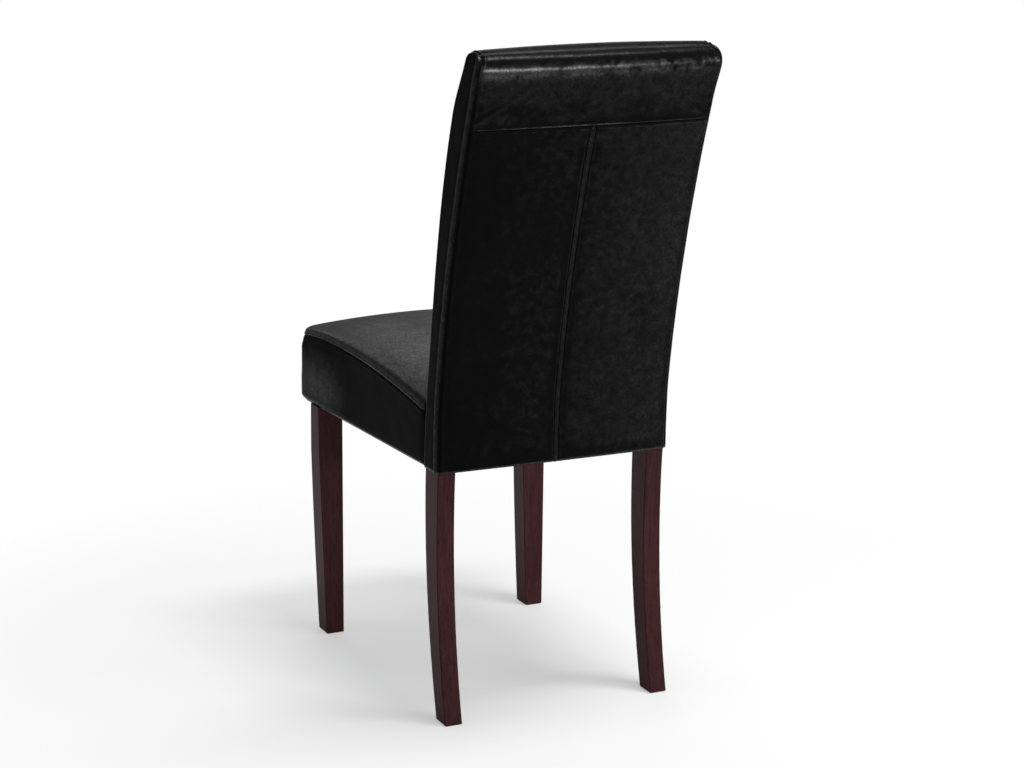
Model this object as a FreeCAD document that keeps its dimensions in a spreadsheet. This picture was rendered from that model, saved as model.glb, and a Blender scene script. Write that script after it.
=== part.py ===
# An upholstered dining chair, modelled the way it is put together: a back assembly on two long sabre-curved
# rear legs, a seat assembly on two tapered front legs, their padding and sewn leather covers, and the bolts
# that join the two assemblies.
# Millimetres, +Z up. The chair faces -Y and +X is the sitter's left. Pieces are drawn with y = 0 at the
# rear of the back's hem, and at the end every piece is placed so that the origin is the middle of the footprint.
import FreeCAD, Part
import math
import os
import re
import Sketcher

Vector = FreeCAD.Vector

SIZES = {
    # The hem is where the covers end and the legs show. Heights of the back and seat are measured from it.
    "hem_height": 377.5,
    # Back, outside its cover. The rear face rises straight from the hem, bends over a short lumbar arc,
    # and leans back along a long upper arc. The shoulder and the band are measured down from the top.
    "back_width": 375.6,
    "back_top_height": 598.5,
    "bend_height": 49.5,
    "lumbar_radius": 573.0,
    "lumbar_angle": 8.1,
    "upper_radius": 2220.0,
    "back_depth_hem": 49.5,
    "back_depth_waist": 44.6,
    "waist_height": 117.5,
    "back_depth_shoulder": 58.6,
    "shoulder_height": 96.0,
    "back_depth_top": 46.0,
    "back_corner_radius": 8.0,
    "back_front_crown": 8.0,
    "full_crown_height": 262.5,
    "back_rear_crown": 2.0,
    "top_roll_radius": 12.0,
    "top_end_roll": 7.0,
    "band_height": 95.5,
    "side_seam_inset": 10.0,
    # Seat, outside its cover
    "seat_depth": 451.5,
    "seat_front_width": 404.0,
    "seat_rear_width": 372.0,
    "seat_seam_height": 117.5,
    "seam_crest_distance": 121.0,
    "seam_front_drop": 10.5,
    "seam_rear_drop": 33.0,
    "seat_crown": 14.0,
    "seat_shoulder_radius": 6.0,
    "seat_corner_radius": 28.0,
    "seat_front_bow": 4.0,
    # Layers of the upholstery
    "leather": 1.2,
    "rear_foam": 4.0,
    "board": 2.5,
    "side_wadding": 1.4,
    "seat_side_foam": 3.5,
    "top_foam": 16.0,
    "turned_hem": 20.0,
    "cambric": 0.5,
    "cambric_inset": 10.0,
    # Rear legs, which run on upwards as the posts of the back
    "rear_leg_width": 28.0,
    "rear_leg_inset": 4.3,
    "rear_leg_depth": 44.4,
    "rear_foot_kick": 27.1,
    "rear_foot_depth": 32.5,
    "rear_sabre_radius": 1268.0,
    "front_sabre_radius": 1300.0,
    "post_depth": 27.0,
    # Front legs, which run on upwards as the corner posts of the seat frame. They stand a little wider
    # apart than the seat's front is wide, by their spread.
    "front_leg_width": 42.0,
    "front_leg_depth": 33.5,
    "front_foot_width": 30.4,
    "front_foot_depth": 34.3,
    "front_leg_spread": 0.6,
    "front_leg_setback": 41.5,
    "front_foot_kick": 16.8,
    "front_foot_draw": 6.3,
    "taper_start": 75.0,
    "front_leg_swell": 4600.0,
    "leg_edge_radius": 1.6,
    "foot_chamfer": 2.0,
    # Frame
    "rail_height": 72.0,
    "rail_thickness": 22.0,
    "back_rail_height": 60.0,
    "back_rail_thickness": 20.0,
    "middle_rail_height": 277.5,
    "bolted_rail_thickness": 34.0,
    "block_leg": 62.0,
    "block_nose": 22.0,
    "block_height": 30.0,
    "dowel_diameter": 8.0,
    "dowel_length": 32.0,
    "dowel_spacing": 32.0,
    # Straps
    "strap_width": 50.0,
    "strap_thickness": 1.5,
    "seat_strap_pitch": 76.0,
    "seat_cross_strap_pitch": 84.0,
    "back_strap_pitch": 70.0,
    "strap_rail_gap": 12.0,
    # Fasteners
    "bolt_diameter": 6.0,
    "bolt_length": 52.0,
    "bolt_head_diameter": 12.0,
    "bolt_head_height": 4.0,
    "bolt_spread": 168.0,
    "bolt_rise": 34.0,
    "washer_diameter": 18.0,
    "washer_thickness": 1.6,
    "tee_nut_flange": 19.0,
    "tee_nut_barrel": 8.6,
    "tee_nut_length": 12.0,
    "tee_nut_plate": 1.5,
    "screw_diameter": 4.0,
    "screw_length": 34.0,
    "screw_head_diameter": 8.0,
    "screw_grip": 18.0,
    # Clearances
    "soft_gap": 0.3,
    "fit_gap": 0.1,
    "bolt_gap": 0.3,
}

document = FreeCAD.newDocument("dining_chair")
sheet = document.addObject("Spreadsheet::Sheet", "Sizes")
for row, (name, value) in enumerate(SIZES.items(), start=1):
    sheet.set(f"A{row}", name)
    sheet.set(f"B{row}", str(value))
    sheet.setAlias(f"B{row}", name)
document.recompute()

parts = []

BEND = "hem_height + bend_height"
TOP = "hem_height + back_top_height"
SEAM = "hem_height + seat_seam_height"
MIDDLE_RAIL = "hem_height + middle_rail_height"


def size(formula):
    """Value of a formula over the sheet's names, or of a plain number."""
    return float(sheet.evalExpression(formula)) if isinstance(formula, str) else float(formula)


def bound(formula):
    """The formula as the other objects of the document write it."""
    return re.sub(r"[a-z_]+", lambda word: "Sizes." + word[0] if word[0] in SIZES else word[0], formula)


def new_body(label, kept=True):
    """An empty body. Kept ones are sub-parts of their own; the others go into a group."""
    body = document.addObject("PartDesign::Body", label)
    body.Label = label
    if kept:
        parts.append(body)
    return body


def sketch_on(body, role, offset="0"):
    """A sketch parallel to one of the body's origin planes."""
    sketch = body.newObject("Sketcher::SketchObject", "Sketch")
    plane = next(feature for feature in body.Origin.OriginFeatures if feature.Role == role)
    sketch.AttachmentSupport = (plane, [""])
    sketch.MapMode = "FlatFace"
    if isinstance(offset, str):
        sketch.setExpression("AttachmentOffset.Base.z", bound(offset))
    else:
        sketch.AttachmentOffset = FreeCAD.Placement(Vector(0, 0, offset), FreeCAD.Rotation())
    return sketch


def dimension(sketch, constraint, value):
    """Add a constraint with a size, tied to the sheet where the size is a formula."""
    index = sketch.addConstraint(constraint)
    if isinstance(value, str):
        sketch.setExpression(f"Constraints[{index}]", bound(value))


def hold(sketch, geometry, point, across, up):
    """Hold a point at its two distances from the sketch's origin."""
    dimension(sketch, Sketcher.Constraint("DistanceX", -1, 1, geometry, point, size(across)), across)
    dimension(sketch, Sketcher.Constraint("DistanceY", -1, 1, geometry, point, size(up)), up)


def outline(sketch, corners, arcs=None):
    """Closed outline through corners. arcs maps the number of a side to its radius, which is positive
    where the side bulges to the right of its run."""
    arcs = arcs or {}
    points = [Vector(size(across), size(up), 0) for across, up in corners]
    sides = []
    for number, start in enumerate(points):
        end = points[(number + 1) % len(points)]
        curve = Part.LineSegment(start, end)
        if number in arcs:
            curve = arc_between(start, end, size(arcs[number]))
        side = sketch.addGeometry(curve, False)
        first = 1 if sketch.getPoint(side, 1).isEqual(start, 1e-6) else 2
        sides.append((side, first, 3 - first))
    for number, (side, first, last) in enumerate(sides):
        following, its_first, _ = sides[(number + 1) % len(sides)]
        sketch.addConstraint(Sketcher.Constraint("Coincident", side, last, following, its_first))
        hold(sketch, side, first, *corners[number])
        if number in arcs:
            radius = arcs[number]
            magnitude = f"abs({radius})" if isinstance(radius, str) else abs(radius)
            dimension(sketch, Sketcher.Constraint("Radius", side, size(magnitude)), magnitude)
    return sketch


def arc_between(start, end, radius):
    """Arc in the XY plane that bulges to the right of its run where the radius is positive."""
    chord = end - start
    sagitta = abs(radius) - math.sqrt(radius**2 - (chord.Length / 2) ** 2)
    outward = Vector(chord.y, -chord.x, 0).normalize() * math.copysign(sagitta, radius)
    return Part.Arc(start, (start + end) / 2 + outward, end)


def rectangle(sketch, left, bottom, right, top):
    return outline(sketch, [(left, bottom), (right, bottom), (right, top), (left, top)])


def circles(sketch, centres, radius):
    for across, up in centres:
        circle = Part.Circle(Vector(size(across), size(up), 0), Vector(0, 0, 1), size(radius))
        index = sketch.addGeometry(circle, False)
        hold(sketch, index, 3, across, up)
        dimension(sketch, Sketcher.Constraint("Radius", index, size(radius)), radius)
    return sketch


def pad(body, sketch, length, symmetric=False):
    feature = body.newObject("PartDesign::Pad", "Pad")
    feature.Profile = sketch
    feature.setExpression("Length", bound(length))
    feature.SideType = "Symmetric" if symmetric else "One side"
    return feature


def pocket(body, sketch, depth=None, reverse=False):
    """Cut a sketch's outlines out of the body: to a depth, or without one right through both ways."""
    document.recompute()
    volume = body.Shape.Volume
    feature = body.newObject("PartDesign::Pocket", "Pocket")
    feature.Profile = sketch
    if depth is None:
        feature.SideType = "Symmetric"
        feature.Type = "ThroughAll"
    else:
        feature.setExpression("Length", bound(depth))
        feature.Reversed = reverse
    document.recompute()
    if body.Shape.Volume > volume - 1:
        raise ValueError(f"a pocket cuts nothing from {body.Label}")
    return feature


def ease_edges(body, kind, amount, chosen):
    """Round or chamfer the edges of the body that a test picks."""
    document.recompute()
    base = body.Tip
    names = [f"Edge{number}" for number, edge in enumerate(base.Shape.Edges, start=1) if chosen(edge)]
    feature = body.newObject("PartDesign::" + kind, kind)
    feature.Base = (base, names)
    feature.setExpression("Radius" if kind == "Fillet" else "Size", bound(amount))


def revolve(body, corners):
    """Turn a half outline, given as distance from the axis and height, about the body's Z axis."""
    sketch = outline(sketch_on(body, "XZ_Plane"), corners)
    feature = body.newObject("PartDesign::Revolution", "Revolution")
    feature.Profile = sketch
    feature.ReferenceAxis = (sketch, ["V_Axis"])
    feature.Angle = 360


def group(label, members):
    """Like pieces that share one sub-part."""
    compound = document.addObject("Part::Compound", label)
    compound.Label = label
    compound.Links = members
    parts.append(compound)


def piece(label, shape):
    """A soft or sheet piece whose form comes from lofts."""
    feature = document.addObject("Part::Feature", label)
    feature.Label = label
    feature.Shape = shape
    parts.append(feature)
    return feature


def mirrored(shape):
    return shape.mirror(Vector(0, 0, 0), Vector(1, 0, 0))


def centred(count, pitch):
    """Offsets of like things at a pitch about their middle."""
    return [(number - (count - 1) / 2) * pitch for number in range(count)]


# The lines of the back. Everything in the back follows its rear face, at some depth square to it.


def lumbar_end():
    """Angle, distance back and height where the lumbar arc passes into the upper arc."""
    angle = math.radians(size("lumbar_angle"))
    radius = size("lumbar_radius")
    return angle, radius * (1 - math.cos(angle)), size(BEND) + radius * math.sin(angle)


def upper_centre():
    angle, back, height = lumbar_end()
    radius = size("upper_radius")
    return back + radius * math.cos(angle), height - radius * math.sin(angle)


def lean(height):
    """Angle from upright of the rear face where it reaches a height."""
    if height <= size(BEND):
        return 0.0
    if height <= lumbar_end()[2]:
        return math.asin((height - size(BEND)) / size("lumbar_radius"))
    return math.asin((height - upper_centre()[1]) / size("upper_radius"))


def rear_point(height, depth=0.0):
    """Point at x = 0 at a depth into the back, square to the rear face where that reaches the height."""
    angle = lean(height)
    if height <= size(BEND):
        back = 0.0
    elif height <= lumbar_end()[2]:
        back = size("lumbar_radius") * (1 - math.cos(angle))
    else:
        back = upper_centre()[0] - size("upper_radius") * math.cos(angle)
    return Vector(0, back - depth * math.cos(angle), height + depth * math.sin(angle))


def rear_run(depth, low, high):
    """Edges up the back at a depth from its rear face, between two heights of the rear face."""
    bend = size(BEND)
    lumbar = lumbar_end()[2]
    edges = [Part.LineSegment(rear_point(low, depth), rear_point(bend, depth))]
    for start, end in ((bend, lumbar), (lumbar, high)):
        middle = rear_point((start + end) / 2, depth)
        edges.append(Part.Arc(rear_point(start, depth), middle, rear_point(end, depth)))
    return [edge.toShape() for edge in edges]


def across(edges, left, right):
    """Solid between two values of x whose section is the closed run of edges."""
    face = Part.Face(Part.Wire(Part.__sortEdges__(edges)))
    face.translate(Vector(left, 0, 0))
    return face.extrude(Vector(right - left, 0, 0))


def layer(outer_depth, inner_depth, low, high, left, right):
    """Solid between two depths into the back, two heights of the rear face and two values of x."""
    outer = rear_run(outer_depth, low, high)
    inner = rear_run(inner_depth, low, high)
    ends = [
        Part.LineSegment(rear_point(height, outer_depth), rear_point(height, inner_depth)).toShape()
        for height in (low, high)
    ]
    return across(outer + inner + ends, left, right)


def blend(start, end, share):
    """Smooth passage from one value to another."""
    return start + (end - start) * (1 - math.cos(math.pi * share)) / 2


def back_depth(height):
    """Depth of the back at its side edges, square to the rear face."""
    hem = size("hem_height")
    waist = size("hem_height + waist_height")
    shoulder = size(f"{TOP} - shoulder_height")
    top = size(TOP)
    if height < waist:
        share = (height - hem) / (waist - hem)
        return blend(size("back_depth_hem"), size("back_depth_waist"), share)
    if height < shoulder:
        share = (height - waist) / (shoulder - waist)
        return blend(size("back_depth_waist"), size("back_depth_shoulder"), share)
    share = (height - shoulder) / (top - shoulder)
    return blend(size("back_depth_shoulder"), size("back_depth_top"), min(share, 1.0))


def front_crown(height):
    """How far the middle of the front stands out. It is flat where the seat meets it."""
    start = size(f"{SEAM} - seam_rear_drop + seat_crown")
    share = (height - start) / (size("hem_height + full_crown_height") - start)
    return blend(0.0, size("back_front_crown"), min(max(share, 0.0), 1.0))


def back_section(height, inset, roll=0.0, end_roll=0.0):
    """Outline of the back square to its rear face: crowned front, nearly flat rear, rounded corners."""
    half = size("back_width / 2") - inset - end_roll
    radius = size("back_corner_radius") - inset
    rear = inset + roll
    front = back_depth(height) - inset - roll
    corner = radius * (1 - math.sqrt(0.5))
    turn = FreeCAD.Placement(rear_point(height), FreeCAD.Rotation(Vector(1, 0, 0), -math.degrees(lean(height))))

    def at(x, depth):
        return turn.multVec(Vector(x, -depth, 0))

    def arc(*points):
        return Part.Arc(*[at(x, depth) for x, depth in points]).toShape()

    def line(*points):
        return Part.LineSegment(*[at(x, depth) for x, depth in points]).toShape()

    rear_crown = rear - size("back_rear_crown")
    front_middle = front + front_crown(height)
    front_line = [(half - radius, front), (0, front_middle), (radius - half, front)]
    return Part.Wire([
        arc((radius - half, rear), (0, rear_crown), (half - radius, rear)),
        arc((half - radius, rear), (half - corner, rear + corner), (half, rear + radius)),
        line((half, rear + radius), (half, front - radius)),
        arc((half, front - radius), (half - corner, front - corner), (half - radius, front)),
        arc(*front_line) if front_middle > front else line(front_line[0], front_line[2]),
        arc((radius - half, front), (corner - half, front - corner), (-half, front - radius)),
        line((-half, front - radius), (-half, rear + radius)),
        arc((-half, rear + radius), (corner - half, rear + corner), (radius - half, rear)),
    ])


def back_form(inset):
    """The whole back, taken in by an inset all round, from its hem to the roll along its top."""
    low = size("hem_height") + inset
    high = size(TOP) - inset * math.cos(lean(size(TOP)))
    roll = size("top_roll_radius")
    end_roll = size("top_end_roll")
    bend = size(BEND)
    lumbar = lumbar_end()[2]
    roll_start = high - roll
    spans = 6
    heights = [low, bend, (bend + lumbar) / 2, lumbar]
    heights += [lumbar + (roll_start - lumbar) * step / spans for step in range(1, spans + 1)]
    trunk = Part.makeLoft([back_section(height, inset) for height in heights], True, False)
    rolled = []
    for angle in (0, 30, 60, 90):
        rise = math.sin(math.radians(angle))
        draw = 1 - math.cos(math.radians(angle))
        rolled.append(back_section(roll_start + roll * rise, inset, roll * draw, end_roll * draw))
    return trunk.fuse(Part.makeLoft(rolled, True, False))


# The lines of the seat


def seat_front():
    return -size("back_depth_hem + seat_depth")


def seat_rear():
    return -size("back_depth_hem + soft_gap")


def seat_half_width(y):
    """Half the seat's width, outside its cover, at a distance from the hem of the back."""
    share = (y - seat_front()) / (seat_rear() - seat_front())
    return (size("seat_front_width") + (size("seat_rear_width") - size("seat_front_width")) * share) / 2


def seam_height(y):
    """Height of the seam between the seat's top panel and its boxing, which arches from front to rear."""
    crest = seat_front() + size("seam_crest_distance")
    if y < crest:
        return size(SEAM) - size("seam_front_drop") * ((crest - y) / (crest - seat_front())) ** 2
    return size(SEAM) - size("seam_rear_drop") * ((y - crest) / (seat_rear() - crest)) ** 2


def seat_plan(inset, height):
    """The seat's outline seen from above: tapered sides, bowed front, rounded front corners."""
    front = seat_front() + inset
    rear = seat_rear() - inset
    radius = size("seat_corner_radius") - inset
    corner = radius * (1 - math.sqrt(0.5))
    wide = seat_half_width(front + radius) - inset
    narrow = seat_half_width(rear) - inset
    bow = front - size("seat_front_bow")
    side = Vector(wide, front + radius, height)
    toe = Vector(wide - radius, front, height)
    heel = Vector(narrow, rear, height)

    def flip(point):
        return Vector(-point.x, point.y, point.z)

    shoulder = Vector(wide - corner, front + corner, height)
    return Part.Wire([
        Part.LineSegment(heel, side).toShape(),
        Part.Arc(side, shoulder, toe).toShape(),
        Part.Arc(toe, Vector(0, bow, height), flip(toe)).toShape(),
        Part.Arc(flip(toe), flip(shoulder), flip(side)).toShape(),
        Part.LineSegment(flip(side), flip(heel)).toShape(),
        Part.LineSegment(flip(heel), heel).toShape(),
    ])


def seat_dome(inset, rise):
    """Solid under the crowned top of the seat, raised above the seam and wider than the seat."""
    half = size("seat_front_width / 2") + size("seat_corner_radius")
    floor = size("hem_height") - size("turned_hem")
    crown = size("seat_crown")
    first = seat_front() - size("seat_corner_radius")
    last = seat_rear() + size("seat_corner_radius")
    stations = 7
    sections = []
    for step in range(stations + 1):
        y = first + (last - first) * step / stations
        edge = seam_height(y) + rise - inset
        left = Vector(-half, y, edge)
        right = Vector(half, y, edge)
        sections.append(Part.Wire([
            Part.Arc(left, Vector(0, y, edge + crown), right).toShape(),
            Part.LineSegment(right, Vector(half, y, floor)).toShape(),
            Part.LineSegment(Vector(half, y, floor), Vector(-half, y, floor)).toShape(),
            Part.LineSegment(Vector(-half, y, floor), left).toShape(),
        ]))
    return Part.makeLoft(sections, True, False)


def seat_form(inset):
    """The whole seat, taken in by an inset all round, with its shoulders rounded."""
    low = size("hem_height") + inset
    tall = size(f"{SEAM} + seat_crown + seat_corner_radius") - low
    block = Part.Face(seat_plan(inset, low)).extrude(Vector(0, 0, tall))
    form = block.common(seat_dome(inset, size("seat_shoulder_radius")))
    brim = size(f"{SEAM} - seam_rear_drop - seat_shoulder_radius")
    rear = seat_rear() - inset - size("leather")
    level = math.cos(math.radians(45))
    shoulders = [
        edge for edge in form.Edges
        if edge.BoundBox.ZMin > brim and edge.BoundBox.YMin < rear
        and abs(edge.tangentAt(edge.FirstParameter).z) < level
    ]
    return form.makeFillet(size("seat_shoulder_radius") - inset, shoulders)


# Heights and faces that several pieces share


REAR_STACK = "leather + rear_foam + board"
POST_OUTER = "back_width / 2 - leather - side_wadding"
POST_INNER = f"{POST_OUTER} - rear_leg_width"
RAIL_LOW = "hem_height + leather + fit_gap"
RAIL_HIGH = f"{RAIL_LOW} + rail_height"
FRONT_LEG_FACE = "-(back_depth_hem + seat_depth - front_leg_setback)"
FRONT_LEG_REAR = f"{FRONT_LEG_FACE} + front_leg_depth"
FRONT_LEG_OUTER = "(seat_front_width + front_leg_spread) / 2"
FRONT_LEG_INNER = f"{FRONT_LEG_OUTER} - front_leg_width"
REAR_RAIL_BACK = "-(back_depth_hem + soft_gap + leather + fit_gap)"
REAR_RAIL_FACE = f"{REAR_RAIL_BACK} - rail_thickness"


def rail_outer(y):
    """Outer face of the side rails, which taper with the seat."""
    return seat_half_width(y) - size("leather + seat_side_foam")


def bottom_rail_front():
    """Depth of the front of the back's bottom rail, just inside the cover where that is thinnest."""
    return back_depth(size(RAIL_HIGH)) - size("leather + soft_gap + fit_gap")


def back_rail_frames():
    """Label, middle height, height, thickness and depth of the middle of each rail of the back."""
    front_depth = size(f"{REAR_STACK} + post_depth")
    plain = size("back_rail_thickness")
    bolted_depth = bottom_rail_front() - size("bolted_rail_thickness / 2")
    top = size(f"{TOP} - top_foam - back_rail_height / 2 - soft_gap")
    return [
        ("back_top_rail", top, "back_rail_height", "back_rail_thickness", front_depth - plain / 2),
        ("back_middle_rail", size(MIDDLE_RAIL), "back_rail_height", "back_rail_thickness",
         front_depth - plain / 2),
        ("back_bottom_rail", size(f"{RAIL_LOW} + rail_height / 2"), "rail_height", "bolted_rail_thickness",
         bolted_depth),
    ]


def rail_placement(height, depth):
    """Where a rail of the back lies: its middle at a depth, tilted with the rear face."""
    tilt = -math.degrees(lean(height)) if height > size(RAIL_HIGH) else 0.0
    return FreeCAD.Placement(rear_point(height, depth), FreeCAD.Rotation(Vector(1, 0, 0), tilt))


def dowel_offsets():
    return (size("-dowel_spacing / 2"), size("dowel_spacing / 2"))


def back_dowel_places():
    """Distance back and height of each dowel between the rails of the back and its posts."""
    posts_middle = size(f"{REAR_STACK} + post_depth / 2")
    places = []
    for label, height, _, _, depth in back_rail_frames():
        placement = rail_placement(height, depth)
        toward_post = depth - posts_middle if label == "back_bottom_rail" else 0.0
        for offset in dowel_offsets():
            places.append((label, Vector(0, toward_post, offset), placement.multVec(Vector(0, toward_post, offset))))
    return places


# Back assembly: frame


def rear_leg(label, side):
    """Sabre-curved leg sawn in one piece with its post. The exposed leg ends in a shoulder at the hem, and
    the post above it is set in by the layers of the upholstery."""
    body = new_body(label)
    inner_face = POST_INNER if side > 0 else f"-({POST_OUTER})"
    leg_corners = [
        ("rear_foot_kick", "0"),
        ("-rear_leg_inset", "hem_height"),
        ("-rear_leg_inset - rear_leg_depth", "hem_height"),
        ("rear_foot_kick - rear_foot_depth", "0"),
    ]
    leg_arcs = {0: "-rear_sabre_radius", 2: "front_sabre_radius"}
    pad(body, outline(sketch_on(body, "YZ_Plane", inner_face), leg_corners, leg_arcs), "rear_leg_width")
    finish_leg(body)

    stack = size(REAR_STACK)
    front = size(f"{REAR_STACK} + post_depth")
    lumbar = lumbar_end()[2]
    top = size(f"{TOP} - top_foam - soft_gap")
    post_corners = [
        (f"-({REAR_STACK})", "hem_height"),
        (f"-({REAR_STACK})", BEND),
        tuple(rear_point(lumbar, stack))[1:],
        tuple(rear_point(top, stack))[1:],
        tuple(rear_point(top, front))[1:],
        tuple(rear_point(lumbar, front))[1:],
        (f"-({REAR_STACK} + post_depth)", BEND),
        (f"-({REAR_STACK} + post_depth)", "hem_height"),
    ]
    post_arcs = {
        1: f"-(lumbar_radius + {REAR_STACK})",
        2: f"-(upper_radius + {REAR_STACK})",
        4: f"upper_radius + {REAR_STACK} + post_depth",
        5: f"lumbar_radius + {REAR_STACK} + post_depth",
    }
    pad(body, outline(sketch_on(body, "YZ_Plane", inner_face), post_corners, post_arcs), "rear_leg_width")

    centres = [(place.y, place.z) for _, _, place in back_dowel_places()]
    holes_face = POST_INNER if side > 0 else f"-({POST_INNER})"
    holes = circles(sketch_on(body, "YZ_Plane", holes_face), centres, "dowel_diameter / 2 + fit_gap")
    pocket(body, holes, "dowel_length / 2 + fit_gap", reverse=side > 0)


def finish_leg(body):
    """Ease the long edges of the exposed leg and chamfer round its foot."""
    hem = size("hem_height")

    def long_edge(edge):
        return edge.Length > hem / 2

    def foot_edge(edge):
        return edge.BoundBox.ZMax < 0.01

    ease_edges(body, "Chamfer", "foot_chamfer", foot_edge)
    ease_edges(body, "Fillet", "leg_edge_radius", long_edge)


def back_rail(label, height, tall, thick, depth):
    """Rail between the posts, doweled into both."""
    body = new_body(label)
    half_tall = f"{tall} / 2"
    half_thick = f"{thick} / 2"
    sketch = rectangle(sketch_on(body, "YZ_Plane"), f"-{half_thick}", f"-{half_tall}", half_thick, half_tall)
    pad(body, sketch, f"2 * ({POST_INNER})", symmetric=True)
    centres = [(local.y, local.z) for owner, local, _ in back_dowel_places() if owner == label]
    for side, face in ((1, POST_INNER), (-1, f"-({POST_INNER})")):
        holes = circles(sketch_on(body, "YZ_Plane", face), centres, "dowel_diameter / 2 + fit_gap")
        pocket(body, holes, "dowel_length / 2 + fit_gap", reverse=side < 0)
    body.Placement = rail_placement(height, depth)
    return body


def dowel(number, middle, direction):
    """Wooden dowel centred on a joint."""
    pin = document.addObject("Part::Cylinder", f"dowel_{number}")
    pin.setExpression("Radius", bound("dowel_diameter / 2"))
    pin.setExpression("Height", bound("dowel_length"))
    turn = FreeCAD.Rotation(Vector(0, 0, 1), direction)
    pin.Placement = FreeCAD.Placement(middle - direction * size("dowel_length / 2"), turn)
    return pin


def back_dowels():
    members = []
    for side in (1, -1):
        for _, _, place in back_dowel_places():
            middle = Vector(side * size(POST_INNER), place.y, place.z)
            members.append(dowel(f"back_{len(members)}", middle, Vector(1, 0, 0)))
    group("back_dowels", members)


def back_board():
    """Thin hardboard over the rear of the frame, under the rear padding."""
    body = new_body("back_board")
    outer = size("leather + rear_foam")
    inner = size(REAR_STACK)
    lumbar = lumbar_end()[2]
    top = size(f"{TOP} - top_foam - soft_gap")
    corners = [
        ("-(leather + rear_foam)", RAIL_LOW),
        ("-(leather + rear_foam)", BEND),
        tuple(rear_point(lumbar, outer))[1:],
        tuple(rear_point(top, outer))[1:],
        tuple(rear_point(top, inner))[1:],
        tuple(rear_point(lumbar, inner))[1:],
        (f"-({REAR_STACK})", BEND),
        (f"-({REAR_STACK})", RAIL_LOW),
    ]
    arcs = {
        1: "-(lumbar_radius + leather + rear_foam)",
        2: "-(upper_radius + leather + rear_foam)",
        4: f"upper_radius + {REAR_STACK}",
        5: f"lumbar_radius + {REAR_STACK}",
    }
    pad(body, outline(sketch_on(body, "YZ_Plane"), corners, arcs), f"2 * ({POST_OUTER})", symmetric=True)


def back_webbing():
    """Elastic straps across the front of the posts: one below the middle rail and three centred above it."""
    depth = size(f"{REAR_STACK} + post_depth + fit_gap + strap_thickness / 2")
    (_, top, *_), (_, middle, *_), _ = back_rail_frames()
    clear = size("(back_rail_height + strap_width) / 2 + strap_rail_gap")
    heights = [middle - clear]
    heights += [(middle + top) / 2 + offset for offset in centred(3, size("back_strap_pitch"))]
    members = []
    for height in heights:
        strap = document.addObject("Part::Box", "back_strap")
        strap.setExpression("Length", bound(f"2 * ({POST_OUTER}) - rail_thickness / 2"))
        strap.setExpression("Width", bound("strap_thickness"))
        strap.setExpression("Height", bound("strap_width"))
        corner = Vector(*(size(part) for part in (
            f"-({POST_OUTER}) + rail_thickness / 4", "-strap_thickness / 2", "-strap_width / 2")))
        place = FreeCAD.Placement(rear_point(height, depth),
                                  FreeCAD.Rotation(Vector(1, 0, 0), -math.degrees(lean(height))))
        strap.Placement = place * FreeCAD.Placement(corner, FreeCAD.Rotation())
        members.append(strap)
    group("back_webbing", members)


# Back assembly: padding and cover. The cover is the back's form less the same form taken in by the leather,
# and the padding is what is left of that inner form round the frame.


def reach():
    """Half the side of a block that is larger than the chair."""
    return size(f"{TOP} + seat_depth")


def tilted_block(height, above):
    """Everything above or below the plane that cuts the back square to its rear face at a height."""
    far = reach()
    block = Part.makeBox(2 * far, 2 * far, far, Vector(-far, -far, 0 if above else -far))
    turn = FreeCAD.Rotation(Vector(1, 0, 0), -math.degrees(lean(height)))
    block.Placement = FreeCAD.Placement(rear_point(height), turn)
    return block


def slab(left, right):
    """Everything between two values of x."""
    far = reach()
    return Part.makeBox(right - left, 2 * far, 2 * far, Vector(left, -far, -far))


def bolt_places():
    """X and height of the bolts that join the back to the seat."""
    middle = size(f"{RAIL_LOW} + rail_height / 2")
    half_spread = size("bolt_spread / 2")
    half_rise = size("bolt_rise / 2")
    return [
        (side * half_spread, middle + level * half_rise)
        for side in (-1, 1) for level in (-1, 1)
    ]


def bolt_holes():
    """Clearance holes for those bolts, along Y."""
    radius = size("bolt_diameter / 2 + bolt_gap")
    start = size(f"{REAR_RAIL_FACE} - washer_thickness")
    length = size("rail_thickness + bolt_length")
    holes = [
        Part.makeCylinder(radius, length, Vector(x, start, height), Vector(0, 1, 0))
        for x, height in bolt_places()
    ]
    return Part.makeCompound(holes)


def post_holes(low, high):
    """Room for the two posts where they pass through the bottom of the back's cover."""
    gap = size("soft_gap")
    left = size(POST_INNER) - gap
    right = size(POST_OUTER) + gap
    front = -size(f"{REAR_STACK} + post_depth") - gap
    back = -size(REAR_STACK) + gap
    hole = Part.makeBox(right - left, back - front, high - low, Vector(left, front, low))
    return Part.makeCompound([hole, mirrored(hole)])


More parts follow.
